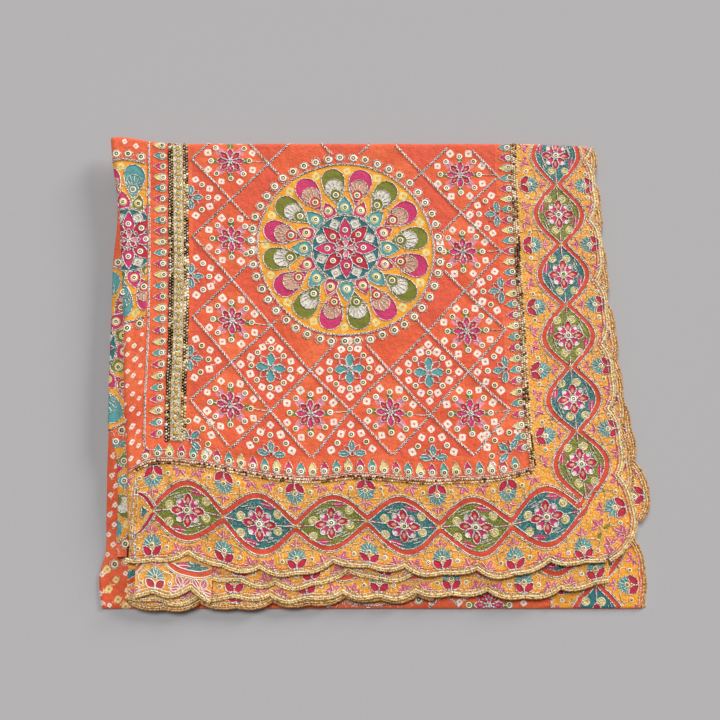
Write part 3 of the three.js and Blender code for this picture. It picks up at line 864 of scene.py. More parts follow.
def printed_crepe(name, ground, dyes, knots, faded):
    """Crepe, block printed: a fine pebbled weave that crinkles, dyes that soak a little past their
    outlines, and dots left pale where the cloth was tied. faded is how much of the dye is missing
    on the wrong side."""
    material, tree = new_material(name)
    flat = attribute(tree, "flat", "Vector")
    soak = maths(tree, "SUBTRACT", noise(tree, flat, 1100.0), 0.5)
    flecks = noise(tree, flat, 620.0, 2.0, 0.6)

    def worked(under, pale, dark, share):
        """A colour worked all over with tiny pale and dark stitches."""
        under = mix(tree, ramp(tree, flecks, 0.57, 0.63, 0.0, share), under, colour(pale))
        return mix(tree, ramp(tree, flecks, 0.42, 0.36, 0.0, share), under, colour(dark))

    light, dark = map(colour, ground)
    base = mix(tree, ramp(tree, noise(tree, flat, 26.0, 3.0), 0.35, 0.65), dark, light)
    if ground is YELLOW:
        base = worked(base, "#fdeec6", "#a8702c", 0.6)
    for dye in dyes:
        amount = maths(tree, "MULTIPLY_ADD", soak, 0.7, attribute(tree, "dye_" + dye))
        tint = colour(DYES[dye])
        if ground is YELLOW and dye in ("olive", "peacock"):
            tint = worked(tint, "#b9bd86", "#3c3420", 0.65)
        base = mix(tree, ramp(tree, amount, -0.22, 0.22), base, tint)
    if knots:
        u, v, away = node(tree, "SeparateXYZ", {0: attribute(tree, "knot", "Vector")}).outputs
        # A tied dot is a soft-cornered square, undyed but for its middle.
        powers = [maths(tree, "POWER", maths(tree, "ABSOLUTE", part), 4.5) for part in (u, v)]
        square = maths(tree, "MULTIPLY_ADD", soak, 0.9, maths(tree, "ADD", *powers))
        squares = [maths(tree, "MULTIPLY", part, part) for part in (u, v)]
        middle = maths(tree, "SQRT", maths(tree, "ADD", *squares))
        undyed = maths(tree, "MULTIPLY", ramp(tree, middle, 0.22, 0.4), ramp(tree, away, 1.7, 1.5))
        undyed = maths(tree, "MULTIPLY", ramp(tree, square, 1.2, 0.7), undyed)
        pale = mix(tree, attribute(tree, "knot_straw"), colour(DYES["cream"]), colour(DYES["straw"]))
        base = mix(tree, undyed, base, pale)
    # Painted shade: the colour darkens in the troughs of the crinkle bump and lightens on its crests, over a
    # fine random mottle of the weave.
    crinkle = noise(tree, flat, 190.0, 3.0, 0.6)
    shade = maths(tree, "MULTIPLY", ramp(tree, noise(tree, flat, 620.0, 3.0, 0.6), 0.3, 0.7, 0.78, 1.18),
                  ramp(tree, crinkle, 0.3, 0.7, 0.88, 1.1))
    shade = node(tree, "CombineColor", {0: shade, 1: shade, 2: shade}).outputs[0]
    base = mix(tree, 1.0, base, shade, "MULTIPLY")
    if faded:
        base = mix(tree, faded, base, colour("#f6dcae"))
    weft = node(tree, "TexWave", {"Vector": flat, "Scale": 260.0, "Distortion": 3.0, "Detail": 1.0},
                bands_direction="Y").outputs["Fac"]
    pebbles = maths(tree, "MULTIPLY_ADD", weft, 0.35, noise(tree, flat, 900.0))
    bump = bumped(tree, pebbles, 0.75, 0.00035, Normal=bumped(tree, crinkle, 0.6, 0.0018))
    return shaded(material, {"Base Color": base, "Normal": bump, "Roughness": 0.78,
                             "Sheen Weight": 0.15, "Sheen Roughness": 0.5})


def metal_thread(name, light, dark, metallic, roughness, grain, share=(0.4, 0.56)):
    """Metal strip wound on a core, with painted highlights and shade: a fine noise paints bright glints and
    dark between them into its colour, and bumps it with the same pattern.
    """
    material, tree = new_material(name)
    glints = noise(tree, object_place(tree), grain, 2.0, 0.7)
    base = mix(tree, ramp(tree, glints, *share), colour(dark), colour(light))
    return shaded(material, {"Base Color": base, "Normal": bumped(tree, glints, 0.6, 0.0003),
                             "Metallic": metallic, "Roughness": roughness})


def punched_film(name, light, dark, metallic, roughness):
    """Punched sequin film: smooth and bright, and finely scratched. A broad noise swings its colour between a
    light and a dark tone: painted light and shade, for pieces that catch the light and pieces that don't.
    """
    material, tree = new_material(name)
    place = object_place(tree)
    lit = ramp(tree, noise(tree, place, 70.0, 1.0), 0.4, 0.6)
    scratches = ramp(tree, noise(tree, place, 800.0), 0.0, 1.0, roughness * 0.7, roughness * 1.3)
    return shaded(material, {"Base Color": mix(tree, lit, colour(dark), colour(light)),
                             "Roughness": scratches, "Metallic": metallic})


SILVER = metal_thread("silver_zari_thread", "#fffcf5", "#6f5f4e", 0.1, 0.38, 800.0, (0.46, 0.52))
FINE = metal_thread("fine_silver_zari_thread", "#fff8ea", "#7d6a55", 0.1, 0.4, 800.0, (0.46, 0.52))
# The deep gold and bronze copies of the cord are partly painted shade. They darken the outer cord of an
# edging and the cords of lower plies lying under those above. The deep gold one is also the real colour of
# the braid's edges and of gilt sequins.
GOLD_CORD = metal_thread("gold_overlocked_cord", "#fff0c2", "#c98f42", 0.1, 0.5, 650.0, (0.4, 0.52))
GOLD_SHADE = metal_thread("deep_gold_and_shade_cord", "#f6d38c", "#9a5a26", 0.1, 0.5, 650.0, (0.42, 0.54))
SHADED_BRONZE_CORD = metal_thread("shaded_bronze_overlocked_cord", "#dda45c", "#7d4622", 0.1, 0.5, 650.0)
GOLD_TISSUE = metal_thread("gold_tissue", "#e0b74a", "#9d7c2e", 0.15, 0.45, 900.0)
SILVER_TISSUE = metal_thread("silver_gilt_tissue", "#e6d7ae", "#77603c", 0.2, 0.4, 900.0)
WHITE = metal_thread("white_cotton_thread", "#fffaf0", "#ecdcbc", 0.0, 0.8, 900.0)
RIM = punched_film("pearl_sequin_film", "#fffce8", "#f0e5b8", 0.0, 0.2)
CUP = punched_film("gilt_sequin_cup", "#6d5730", "#241a10", 0.5, 0.3)
KNOT = punched_film("silver_seed_knot", "#fbf3d8", "#c4b27e", 0.2, 0.35)
DARK_FILM = punched_film("antique_sequin_film", "#6e4f3a", "#2a1a14", 0.2, 0.25)
BEADS = [punched_film(name, light, dark, metallic, 0.28) for name, light, dark, metallic in (
    ("cream_glass_bead", "#fff3d2", "#d8c294", 0.0), ("gilt_bead", "#cdb083", "#8c6f44", 0.3),
    ("dark_glass_bead", "#4a3422", "#1e140c", 0.1))]


# ---- Making meshes

THREAD, FINE_THREAD = 0.55, 0.42  # half thicknesses
cloths = {}


def placed(name, data):
    """A new object, in the scene."""
    obj = bpy.data.objects.new(name, data)
    bpy.context.scene.collection.objects.link(obj)
    return obj


def add_piece(name, mesh, materials, replaces=()):
    mesh.polygons.foreach_set("use_smooth", np.ones(len(mesh.polygons), bool))
    for material in materials:
        mesh.materials.append(material)
    obj = placed(name, mesh)
    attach(obj, "root")
    if replaces:
        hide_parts(*replaces)
    return obj


def mesh_from(bm, name):
    mesh = bpy.data.meshes.new(name)
    bm.to_mesh(mesh)
    bm.free()
    return mesh


def grid(name, columns, rows, place):
    """A grid moved to place(u, v), with u and v from 0 to 1. Gives the mesh and flat places."""
    bm = bmesh.new()
    bmesh.ops.create_grid(bm, x_segments=columns, y_segments=rows, size=0.5)
    for edge in bm.edges:
        edge.smooth = not edge.is_boundary
    mesh = mesh_from(bm, name)
    co = np.empty(len(mesh.vertices) * 3)
    mesh.vertices.foreach_get("co", co)
    x, y, z, flat = place(co[0::3] + 0.5, co[1::3] + 0.5)
    mesh.vertices.foreach_set("co", (np.stack([x, y, z], axis=1) * MM).ravel())
    return mesh, flat


def thicken(obj, wall):
    """Gives a cloth its thickness, down from its upper face."""
    shell = obj.modifiers.new("wall", "SOLIDIFY")
    shell.thickness, shell.offset = wall * MM, -1.0


def cloth_piece(name, stretch, counts, place, ground, replaces=None, faded=0.0, wall=0.9):
    """A dyed stretch of cloth. It stands for the solid of its own name unless replaces says otherwise."""
    mesh, flat = grid(name + "_cloth", *counts, place)
    dyes, knots = dye_mesh(mesh, flat, stretch)
    set_attribute(mesh, "flat", "FLOAT_VECTOR", np.stack([flat.real, flat.imag, 0 * flat.real], axis=1) * MM)
    crepe = printed_crepe(name + "_printed_crepe", ground, dyes, knots, faded)
    cloths[name] = add_piece(name + "_cloth", mesh, [crepe], [name] if replaces is None else replaces)
    thicken(cloths[name], wall)


def threads(name, lines, radius, material, replaces=(), ribs=None):
    """Round threads through lines of x, y, z points. ribs swells every other point of a cord."""
    curve = bpy.data.curves.new(name, "CURVE")
    curve.dimensions = "3D"
    curve.bevel_depth = radius * MM
    curve.bevel_resolution = 0 if ribs is None else 1
    curve.use_fill_caps = True
    for line in lines:
        spline = curve.splines.new("POLY")
        spline.points.add(len(line) - 1)
        spline.points.foreach_set("co", np.column_stack([line * MM, np.ones(len(line))]).ravel())
        if ribs:
            swell = ribs * np.where(np.arange(len(line)) % 2, 1, -1)
            spline.points.foreach_set("radius", 1 + swell + 0.12 * chance.standard_normal(len(line)))
    shape = bpy.data.objects.new(name + "_lines", curve)
    mesh = bpy.data.meshes.new_from_object(shape)
    bpy.data.objects.remove(shape)
    mesh.name = name
    mesh.materials.clear()
    add_piece(name, mesh, [material], replaces)


def turned(name, profile, steps, kinds=lambda away: 0):
    """A profile spun round Z. kinds gives a face's material from its distance to the axis."""
    bm = bmesh.new()
    ring = [bm.verts.new((r, 0, z)) for r, z in profile]
    edges = [bm.edges.new(pair) for pair in zip(ring, ring[1:])]
    bmesh.ops.spin(bm, geom=[*ring, *edges], axis=(0, 0, 1), cent=(0, 0, 0), steps=steps,
                   angle=2 * math.pi, use_merge=True)
    bmesh.ops.remove_doubles(bm, verts=bm.verts, dist=1e-4)
    bmesh.ops.holes_fill(bm, edges=[e for e in bm.edges if e.is_boundary], sides=0)
    bmesh.ops.recalc_face_normals(bm, faces=bm.faces)
    for face in bm.faces:
        face.material_index = kinds(face.calc_center_median().xy.length)
    return mesh_from(bm, name)


def scattered(name, template, places, materials, replaces=(), tints=None):
    """Copies of a template joined in one mesh. places has x, y, z, size, lean and turn for each."""
    co = np.empty(len(template.vertices) * 3)
    template.vertices.foreach_get("co", co)
    co = co.reshape(-1, 3)
    faces = [tuple(p.vertices) for p in template.polygons]
    kinds = [p.material_index for p in template.polygons]
    points, all_faces, all_kinds = [], [], []
    for n, (x, y, z, size, lean, turn) in enumerate(places):
        local = (co[:, 0] + 1j * co[:, 1]) * size * np.exp(1j * turn)
        tilt = (local * np.exp(-1j * lean[0])).real * lean[1]
        points.append(np.stack([x + local.real, y + local.imag, z + co[:, 2] * size + tilt], axis=1))
        all_faces += [tuple(v + n * len(co) for v in face) for face in faces]
        all_kinds += kinds if tints is None else [tints[n]] * len(kinds)
    mesh = bpy.data.meshes.new(name)
    mesh.from_pydata((np.concatenate(points) * MM).tolist(), [], all_faces)
    mesh.polygons.foreach_set("material_index", all_kinds)
    add_piece(name, mesh, materials, replaces)


# Profiles as distance from the axis and height.
SEQUIN = turned(
    "sequin", [(0, 0.66), (0.6, 0.46), (0.85, 0.2), (1.6, 0.26), (1.85, 0.52), (3.0, 0.44), (3.25, 0.08)], 10,
    lambda away: 2 if away < 0.75 else 1 if away < 1.68 else 0)
FLAT_SEQUIN = turned("flat_sequin", [(0, 0.6), (0.6, 0.5), (0.75, 0.3), (2.25, 0.1)], 8,
                     lambda away: 1 if away < 0.7 else 0)
BEAD = turned("bead", [(0, 1.1), (0.75, 0.85), (1.1, 0.3), (0.9, -0.2)], 6)
LOZENGE = turned("lozenge", [(0, 0.62), (1.6, 0.42), (2.3, 0)], 4)


def everywhere(place):
    return np.ones(len(place), bool)


def jitter(count=None):
    """Random steps over the cloth, as complex numbers."""
    return chance.standard_normal(count) + 1j * chance.standard_normal(count)


def sew_on(name, stretch, place, seen=everywhere, thread=(SILVER, FINE)):
    """The threads, braids and sequins of a stretch, in their places on the pack."""
    for kind, radius, material in zip(("silver", "fine"), (THREAD, FINE_THREAD), thread):
        lines = []
        for line in stretch.stitches[kind]:
            line = line + 0.1 * jitter(len(line))
            for run in runs(seen(line)):
                x, y, z = place(line[run], 0.1)
                lines.append(np.stack([x, y, z + 0.12 * chance.standard_normal(len(run))], axis=1))
        if lines:
            threads(f"{name}_{kind}_thread", lines, radius, material)
    lines = []
    for line, height in stretch.ropes:
        for run in runs(seen(line)):
            x, y, z = place(line[run], 0.35)
            lines.append(np.stack([x, y, z + height[run]], axis=1))
    if lines:
        threads(name + "_braid", lines, THREAD, SILVER)
    places = []
    for at, size in stretch.sequins:
        at = np.array([at + 0.35 * jitter()])
        if seen(at + size * np.array([2.6, 2.6j, -2.6, -2.6j])).all():
            lean = (chance.uniform(0, 6.3), chance.uniform(0, 0.12))
            places.append((*np.ravel(place(at, 0.1)), size, lean, chance.uniform(0, 6.3)))
    if places:
        scattered(name + "_sequins", SEQUIN, places, (RIM, CUP, KNOT))


# ---- The top ply

QUARTER = FOLD_RADIUS * math.pi / 2  # the length of a quarter turn round a fold
TOP_CUSP, TOP_NICK = 9.5, 1.6  # of the scallops at the end
LINE_INSET, RED_INSET = 1.7, 3.0  # from a cut edge to the thread beside it, and to the red line


def top_piece(name, stretch, low_x, high_x, low_y, high_y, counts, ground):
    def place(u, v):
        x, y = lerp(-240.0, 200.0, u), lerp(-200.0, 236.0, v)
        for _ in range(ROUNDS):
            x = lerp(low_x(y), high_x(y), u)
            y = lerp(low_y(x), high_y(x), v)
        flat = top_flat(x, y)
        x, y, z = turn_down(x, y, CLOTH / 2)
        return x, y, z + pulled(stretch, flat), flat
    cloth_piece(name, stretch, counts, place, ground)


def fold_start(y):
    return across.fold(y) + FOLD_RADIUS - QUARTER


def back_end(x):
    return along.back(x) - FOLD_RADIUS + QUARTER


def front_cut(x):
    return along.edge(x) + scallop(x, FRONT_CUSP_X, FRONT_PITCH)


def end_cut(y):
    """The corner is one long round lobe, so the scallops fade out towards it."""
    return across.edge(y) - scallop(y, END_CUSP_Y, END_PITCH, TOP_CUSP, TOP_NICK) * smooth(-150, -128, y)


front_line = np.linspace(-238, 225, 310)
end_line = np.linspace(-191.5, 232, 280)
for inset in (LINE_INSET, RED_INSET):
    for line in (top_flat(front_line, front_cut(front_line) + inset),
                 top_flat(end_cut(end_line) - inset, end_line)):
        if inset == LINE_INSET:
            borders.sew(line, "fine")
        else:
            borders.stroke("tomato", line, 0.55)

# The field stops a hair short of the borders, under the bead lines.
top_piece("top_layer_field", field, fold_start, lambda y: across.line(y) - 0.15,
          lambda x: along.line(x) + 0.15, back_end, (212, 186), ORANGE)
top_piece("top_layer_front_border", borders, fold_start, lambda y: across.line(y) + 0.1,
          front_cut, lambda x: along.line(x) - 0.15, (260, 58), YELLOW)
top_piece("top_layer_end_border", borders, lambda y: across.line(y) - 0.1, end_cut,
          front_cut, back_end, (58, 280), YELLOW)
sew_on("field", field, on_top, on_top_seen)
sew_on("border", borders, on_top, on_top_seen)

# Of the inner cord and the outer one. The darker sets are partly painted shade: the outer cord is darker than
# the inner where the edging rolls away, and the lower plies' cords are darker again, under the plies above.
BRIGHT_CORDS, SHADED_CORDS = (GOLD_CORD, GOLD_SHADE), (GOLD_SHADE, SHADED_BRONZE_CORD)
CORDS_AWAY, CORD_RADII = (1.4, 3.4), (1.15, 1.25)


def edging(name, line, height, cords=BRIGHT_CORDS):
    """Two overlocked cords outside a cut edge, on the right of its run."""
    line = stepped(line, 1.1)
    ahead = np.gradient(line)
    for n, (away, radius, material) in enumerate(zip(CORDS_AWAY, CORD_RADII, cords)):
        cord = line - 1j * away * ahead / abs(ahead)
        for _ in range(2):
            cord[1:-1] = (cord[:-2] + cord[1:-1] * 2 + cord[2:]) / 4
        z = height(cord.real, cord.imag) - 0.25 * n
        points = np.stack([cord.real, cord.imag, z], axis=1)
        threads(f"{name}_{'outer' if n else 'inner'}_cord", [points], radius, material,
                [] if n else [name], ribs=0.15)


def ply_surface(ply):
    return lambda x, y: ply_height(x, y, ply) + relief(x, y)


edging("top_edging_front", front_line + 1j * front_cut(front_line), ply_surface(0))
edging("top_edging_end", end_cut(end_line) + 1j * end_line, ply_surface(0))

# ---- The plies below, seen along the edges

FINE_DEPTH, FINE_SHARE = 40.0, 0.84  # how far in the rows are close, and their share of the rows
CHAIN_DEPTH = 44.2  # from a cut edge to the middle of its chain
COLUMN, ROWS = 1.8, 27  # the width of a column, and how many rows


def depth(v, total):
    """Distance from a cut edge: close rows near the edge, and wide ones where the ply is hidden."""
    return np.where(v < FINE_SHARE, v / FINE_SHARE * FINE_DEPTH,
                    lerp(FINE_DEPTH, total, (v - FINE_SHARE) / (1 - FINE_SHARE)))


def rim_lines(cloth, rim, inwards):
    """The thread and the red line that follow a cut edge on its inside."""
    cloth.sew(rim + LINE_INSET * inwards, "fine")
    cloth.stroke("tomato", rim + RED_INSET * inwards, 0.6)


def lower_ply(name, ply, span, edge, inner, shift, upright, faded=0.0, thread=(SILVER, FINE),
              bloom=1.0, dyes=("olive", "peacock")):
    """The border of a lower ply, as far in as it shows. Gives its cut edge, which is the flat
    cloth's axis."""
    surface = ply_surface(ply)
    pitch, cusp_place = (END_PITCH, END_CUSP_Y + shift) if upright else (FRONT_PITCH, FRONT_CUSP_X + shift)
    first = cusp_place - 4 * pitch
    line = np.arange(*span, 2.0)
    notches = scallop(line, cusp_place, pitch)
    if upright:
        cloth = Stretch(-30, span[0], -0.6, span[1])
        border(cloth, -CHAIN_DEPTH + 1j * first, pitch, 9, 90, dyes, (-1,), bloom)
        rim_lines(cloth, -notches + 1j * line, -1)
    else:
        cloth = Stretch(span[0], 0.6, span[1], 30)
        border(cloth, first + 1j * CHAIN_DEPTH, pitch, 9, 0, dyes, (-1,), bloom)
        rim_lines(cloth, line + 1j * notches, 1j)

    def cut(place):
        return edge(place) + (-1 if upright else 1) * scallop(place, cusp_place, pitch)

    def place(u, v):
        run = lerp(*span, u)
        total = abs(inner - cut(run))
        x, y = (cut(run) - depth(v, total), run) if upright else (run, cut(run) + depth(v, total))
        flat = x - edge(y) + 1j * y if upright else x + 1j * (y - edge(x))
        return x, y, surface(x, y) + CLOTH / 2 + pulled(cloth, flat), flat

    def on_ply(flat, lift):
        x, y = flat.real, flat.imag
        x, y = (x + edge(y), y) if upright else (x, y + edge(x))
        return x, y, surface(x, y) + CLOTH / 2 + lift

    counts = (max(24, round((span[1] - span[0]) / COLUMN)), ROWS)
    cloth_piece(name, cloth, counts, place, YELLOW, faded=faded)
    sew_on(name, cloth, on_ply, thread=thread)
    run = np.linspace(*span, 300)
    return cut(run) + 1j * run if upright else run + 1j * cut(run)


# Each: its edging, its cords, which ply it is, from where to where it runs, its edge, how far in it
# reaches, how far its scallops are shifted, and whether it lies at the end rather than the front.
LOWER_PLIES = {
    "reverse_flap": ("flap_edging", BRIGHT_CORDS, 1, (-228, -154), flap_front.edge, -160, 4, False),
    "second_layer_front": (
        "second_edging_front", BRIGHT_CORDS, 2, (-160, 160), second_front.edge, -126, 15, False),
    "second_layer_end": ("second_edging_end", SHADED_CORDS, 2, (-190, 228), second_end.edge, 160.5, -20, True),
    "third_layer_front": (
        "third_edging_front", BRIGHT_CORDS, 3, (-236, 229), third_front.edge, -156, 10, False),
    "third_layer_end": ("third_edging_end", SHADED_CORDS, 3, (-155, 30), third_end.edge, 160.5, 14, True),
    "fourth_layer_front": (
        "fourth_edging_front", SHADED_CORDS, 4, (-236, 60), fourth_front.edge, -156, 12, False),
}
WRONG_SIDE = dict(faded=0.05, thread=(WHITE, WHITE), bloom=1.4, dyes=("peacock", "olive"))
for name, (edging_name, cords, ply, *run) in LOWER_PLIES.items():
    line = lower_ply(name, ply, *run, **(WRONG_SIDE if name == "reverse_flap" else {}))
    edging(edging_name, line, ply_surface(ply), cords)

# ---- The ply folded under at the left

BEND = 2.4  # the inner radius of its fold
LEFT_DROP = 5.6  # how far it lies below the top ply
folded = Stretch(-300, -78, -236, 188)
for row in range(8):
    folded.knot(-250 + 3 * (row % 2) + 1j * (92 + 12.5 * row), 2.1, 45)
folded.frame = (-300, -78, -236, 118)
mandala(folded, -291 + 16j, 4, 0.98, ("magenta", "teal"), ("magenta", "olive"))
folded.frame = (-300, -188, -236, -78)
mandala(folded, -294 - 110j, 14.5, 0.9, ("olive", "teal"), ("magenta", "olive"))
folded.frame = (-300, -188, -236, 188)
folded.sew(-245.5 + 1j * np.array([-76, 0, 80]))


def on_left(flat, lift=0.0):
    """Wraps the ply round its bend: flat places run left from the ply's inner edge."""
    y = flat.imag
    middle = left_fold.edge(y) + BEND + CLOTH / 2
    past = np.maximum(middle - flat.real, 0)
    turn = np.clip(past / BEND, 0, math.pi)
    radius = BEND + CLOTH / 2 + lift
    x = np.maximum(flat.real, middle) - radius * np.sin(turn) + np.maximum(past - BEND * math.pi, 0)
    centre = ply_height(left_fold.inner(y), y) - LEFT_DROP - BEND + 0.4 * relief(middle, y)
    return x, y, centre + radius * np.cos(turn)


def left_place(u, v):
    y = lerp(-190, 186, v)
    inner, middle = left_fold.inner(y), left_fold.edge(y) + BEND + CLOTH / 2
    length = 2 * (inner - middle) + BEND * math.pi
    flat = inner - length * (1 - u) + 1j * y
    return *on_left(flat), flat


cloth_piece("left_fold", folded, (30, 209), left_place, ORANGE)
sew_on("left_fold", folded, on_left,
       lambda flat: (flat.real > left_fold.edge(flat.imag) + 1) & (flat.imag > -188.5))

# ---- The lowest ply

ROUND = 2.2  # of its folds, on the surface
BASE_FRONT, BASE_BACK, BASE_LEAST = -239.5, 238, 0.65  # its folds, and its height there


def base_end(y):
    """Scalloped only where it shows, between the corner and the plies above."""
    shows = smooth(-242, -216, y) * smooth(-140, -150, y)
    return lowest.end(y) - scallop(y, END_CUSP_Y + 6, END_PITCH) * shows


base_cloth = Stretch(-268, -239, 172, -200)
mandala(base_cloth, -1 - 145.5j)
pink_flower(base_cloth, 113.5 - 236j, False)
for place in (85 - 233j, 147 - 234j, 92 - 224j, 140 - 226j, 58 - 234j):
    base_cloth.knot(place, 2.8, 45)
base_cloth.rope(np.array([53 - 240j, 71 - 224j, 85 - 212j]))
base_cloth.rope(np.array([87 - 240j, 71 - 224j, 56 - 212j]))
for place in (-249 - 212j, -255.5 - 221j, -246 - 230.5j, -238.5 - 237j, -258 - 202j):
    base_cloth.knot(place, 3.2, 60, True)
for place in (-263 - 207j, -264 - 225j, -261.5 - 234j, -254 - 236j, -237.5 - 222j, -240 - 206j,
              -232 - 235j, -226 - 237j):
    base_cloth.knot(place, 2.2, 60)
base_cloth.frame = (-268, -196, -236, 60)
for row in range(26):
    base_cloth.knot(-258.5 + 5.0 * (row % 2) + 1j * (-188 + 9.6 * row), 2.2, 45)
base_cloth.frame = (-262, -239, -232, -188)
for place in (-251.5 - 197.5j, -240.5 - 194j):
    base_cloth.sequin(place, 1.2)
    base_cloth.sew(place + closed(circle(4.7, 12)), "fine", 2.2)
base_cloth.frame = (173, -239, 262, -150)
base_cloth.shape("saffron", np.array([174 - 238.5j, 260 - 238.5j, 260 - 151j, 174 - 151j]) + 0j, None)
border(base_cloth, 217.8 - 250j, END_PITCH, 2, 90, ("peacock", "olive"))
base_cloth.rope(np.array([173.8 - 240j, 173.8 - 210j]))
base_line = np.arange(-238.0, -150, 2)
rim_lines(base_cloth, base_end(base_line) + 1j * base_line, -1)


def base_height(x, y):
    """Height of the lowest ply's upper face: it rounds to the surface at its folds."""
    away = np.minimum(np.minimum(x - lowest.left(y), y - BASE_FRONT), BASE_BACK - y)
    t = 1 - np.clip(away / ROUND, 0, 1)
    return BASE_LEAST + ROUND * np.sqrt(1 - t * t) + 0.12 * (1 - t) * np.sin(x / 17) * np.sin(y / 11)


def on_base(flat, lift):
    return flat.real, flat.imag, base_height(flat.real, flat.imag) + lift


def base_seen(flat):
    x, y = flat.real, flat.imag
    return (x > lowest.left(y) + 0.8) & (y > -238.6) & (x < base_end(y) - 0.5)


def base_piece(name, left, right, low, high, counts, replaces=(), warp=(1, 1)):
    """warp draws the columns and rows together towards the left and the front."""
    def place(u, v):
        y = lerp(low, high, v ** warp[1])
        flat = lerp(left(y), right(y), u ** warp[0]) + 1j * y
        return *on_base(flat, 0.5 * pulled(base_cloth, flat)), flat
    cloth_piece(name, base_cloth, counts, place, ORANGE, replaces, wall=0.6)


base_piece("lowest_layer_front", lowest.left, base_end, -239.4, -196, (288, 24), ["lowest_layer"])
base_piece("lowest_layer_end", lambda y: 190 + 0 * y, base_end, -196.3, -150, (40, 26))
base_piece("lowest_layer_hidden", lowest.left, lambda y: np.where(y < -150, 190.3, base_end(y)),
           -196.3, 237.9, (50, 100), (), (2.2, 1.2))
sew_on("lowest_layer", base_cloth, on_base, base_seen)
rim_y, rim_height = np.linspace(-238.5, -150, 120), 1.75
edging("lowest_edging_end", base_end(rim_y) + 1j * rim_y, lambda x, y: rim_height + 0 * x, SHADED_CORDS)

# ---- The hidden plies

CORE_GAP = 0.1  # left free above and below each leaf


def core_leaf(name, replaces, bottom, top, left_edge, end, front, back):
    """Forward along the bottom, round the fold at the back, and forward again along the top."""
    half = (top - bottom) / 2 - CORE_GAP
    back, front = back - half - 0.3, front + 1
    straight = back - front

    def place(u, v):
        run = v * (2 * straight + math.pi * half) - straight
        turn = np.clip(run / half, 0, math.pi)
        y = back - np.maximum(-run, 0) - np.maximum(run - math.pi * half, 0) + half * np.sin(turn)
        left = left_edge(y) + 0.5
        x = lerp(left, end - 1, u ** 1.6)
        close = 1 - np.clip((x - left) / (2 * half), 0, 1)
        z = (top + bottom) / 2 - half * np.cos(turn) * np.sqrt(1 - close * close)
        return x, y, z, x + 1j * run
    cloth_piece(name, Stretch(), (30, 44), place, ORANGE, replaces, wall=0.5)


for n, leaf_sizes in enumerate(CORE_LEAVES):
    core_leaf(f"folded_core_{n}", () if n else ["folded_core"], *leaf_sizes)

# ---- The band between body and pallu, and the bead lines

BAND_START, BAND_END = -78.0, 234.0
BAND_WIDTH, BAND_EDGE, DARK_ROW = 9.4, 4.6, 7.6  # tissue's width; from the middle to edge and sequins
ZIGZAG = 14.2  # one zigzag's length, two lozenges long
DARK_PITCH, BEAD_PITCH = 1.55, 2.3
band_y = np.arange(BAND_START, BAND_END, 0.9)


def beside_band(aside, y, lift):
    """Places beside the band's middle line, lift above the cloth."""
    return turn_down(across.band(y) + aside, y, CLOTH / 2 + lift)


def band_thread(aside, lift):
    return np.stack(beside_band(aside, band_y, lift), axis=1)


def band_place(u, v):
    aside, y = BAND_WIDTH * (u - 0.5), lerp(BAND_START - 0.5, BAND_END, v)
    return *beside_band(aside, y, 0.75), across.band(y) + aside + 1j * y


def zigzag(phase):
    return 3.7 * (4 * abs(((band_y / ZIGZAG + phase) % 1) - 0.5) - 1)


# Silver-gilt tissue under the braid.
mesh, _ = grid("band_tissue", 8, 200, band_place)
thicken(add_piece("zari_braid_tissue", mesh, [SILVER_TISSUE], ["zari_braid"]), 0.5)
threads("zari_braid_zigzags",
        [band_thread(zigzag(p), 1.15 + 0.3 * np.sin(2 * np.pi * (band_y / ZIGZAG + p) * 2)) for p in (0, 0.5)]
        + [band_thread(zigzag(p) * 0.86, 1.2) for p in (0.08, 0.58)], FINE_THREAD, SILVER)
threads("zari_braid_edges", [band_thread(side + 0.12 * np.sin(band_y * 2.6), 1.0)
                             for side in (-BAND_EDGE, BAND_EDGE)], 0.62, GOLD_SHADE)
lozenges = [(*beside_band(0, ZIGZAG / 2 * k, 1.0), 1.55, (0, 0), 0) for k in range(-10, 33)]
scattered("zari_braid_lozenges", LOZENGE, lozenges, (GOLD_TISSUE,))


def dark_row(name, aside, pale_spans):
    """Two files of small antique sequins, with gilt and pale ones among them."""
    kinds = {"dark": [], "gilt": [], "pale": []}
    for n, y in enumerate(np.arange(BAND_START, BAND_END - 1, DARK_PITCH)):
        pale = any(low < y < high for low, high in pale_spans)
        share = (0.3, 0.35, 0.35) if pale else (0.8, 0.09, 0.11)
        chosen = list(kinds)[chance.choice(3, p=share)]
        file = (1.25 if n % 2 else -1.25) + 0.25 * chance.standard_normal()
        lean = (chance.uniform(0, 6.3), chance.uniform(0.05, 0.3))
        spot = beside_band(aside + file, y, 0.1 + 0.2 * chance.random())
        kinds[chosen].append((*spot, chance.uniform(0.75, 0.95), lean, 0))
    for (kind, places), film in zip(kinds.items(), (DARK_FILM, GOLD_SHADE, RIM)):
        scattered(f"{name}_{kind}", FLAT_SEQUIN, places, (film, KNOT),
                  [name] if kind == "dark" else ())


dark_row("sequin_row_body_side", -DARK_ROW, [])
dark_row("sequin_row_pallu_side", DARK_ROW, [(-80, -30), (-10, 20), (55, 110), (150, 190)])


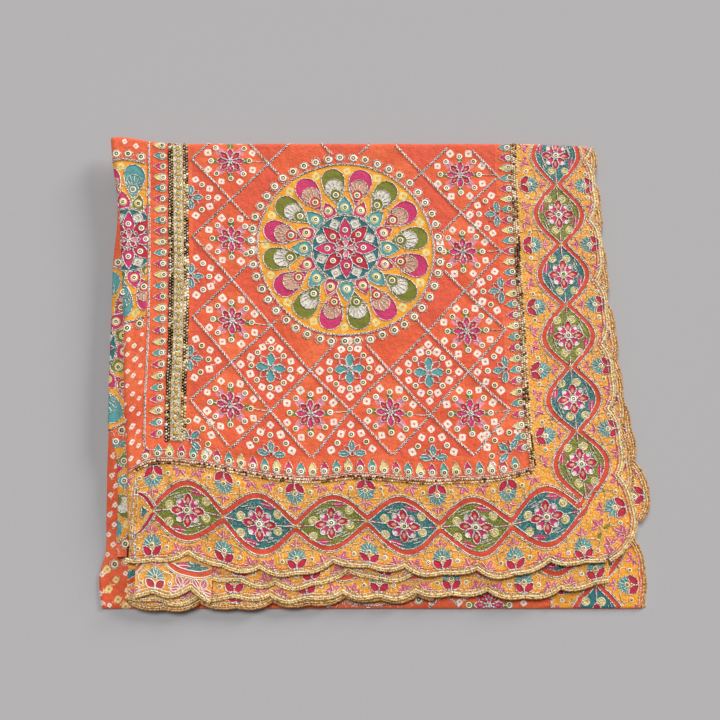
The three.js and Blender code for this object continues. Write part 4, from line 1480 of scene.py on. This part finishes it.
def bead_row(name, line, files, size, dark_above):
    """Files of small beads side by side, cream, gilt and dark. The dark ones come in clusters."""
    line = stepped(line, BEAD_PITCH)
    ahead = np.gradient(line)
    places, tints = [], []
    for k, side in enumerate(files):
        file = line + 1j * ahead / abs(ahead) * side + (ahead * 0.5 if k % 2 else 0)
        for n, place in enumerate(file + 0.18 * jitter(len(file))):
            spot = turn_down(place.real, place.imag, CLOTH / 2 + 0.35)
            places.append((*spot, size * chance.uniform(0.88, 1.1), (0, 0), chance.uniform(0, 6)))
            cluster = math.sin(n * 0.21 + k) + math.sin(n * 0.083)
            share = (0.15, 0.3, 0.55) if cluster > dark_above else (0.5, 0.38, 0.12)
            tints.append(int(chance.choice(3, p=share)))
    scattered(name + "_beads", BEAD, places, BEADS, [name], tints)


bead_x, bead_y = np.linspace(-232, 157, 200), np.linspace(-104, 232, 180)
bead_row("bead_line_front", bead_x + 1j * along.line(bead_x), (-1.3, 1.3), 1.05, 1.5)
bead_row("bead_line_end", across.line(bead_y) + 1j * bead_y, (-2.2, 0, 2.2), 1.1, 1.2)

# ---- Floor, light and camera

bm = bmesh.new()
bmesh.ops.create_grid(bm, x_segments=2, y_segments=2, size=3.0)
floor = placed("studio_floor", mesh_from(bm, "studio_floor"))
# Matt painted board: even, with a faint tooth.
board, tree = new_material("matt_grey_board")
tooth = noise(tree, object_place(tree), 300.0)
shaded(board, {"Base Color": mix(tree, tooth, colour("#b4b2b3"), colour("#b8b6b7")),
               "Roughness": 0.9, "Specular IOR Level": 0.2})
floor.data.materials.append(board)

world = bpy.data.worlds.new("studio")
bpy.context.scene.world = world
world.use_nodes = True
feed(world.node_tree, world.node_tree.nodes["Background"], {"Color": (1, 1, 1, 1), "Strength": 0.14})


def face(obj, direction):
    """Turns a light or camera to look in a direction."""
    obj.rotation_euler = direction.to_track_quat("-Z", "Y").to_euler()


# A soft light from above the camera, and a lower one raking across from behind on the right: its
# strength, how wide the sun is in degrees, and where it shines.
for name, energy, spread, direction in (
    ("key_light", 1.9, 28, (0.15, -0.45, -1)), ("raking_light", 2.75, 20, (-2.2, -1.8, -1)),
):
    sun = bpy.data.lights.new(name, "SUN")
    sun.energy = energy
    sun.angle = math.radians(spread)
    face(placed(name, sun), Vector(direction))

CAMERA_TILT, CAMERA_AWAY = math.radians(79), 0.9
camera_data = bpy.data.cameras.new("camera")
camera_data.lens = 45  # millimetres
camera_data.clip_start, camera_data.clip_end = 0.05, 20
camera = placed("camera", camera_data)
target = Vector((-0.0115, 0.0025, 0.020))
camera.location = target + CAMERA_AWAY * Vector((0, -math.cos(CAMERA_TILT), math.sin(CAMERA_TILT)))
face(camera, target - camera.location)
bpy.context.scene.camera = camera
bpy.context.scene.view_settings.view_transform = "Standard"
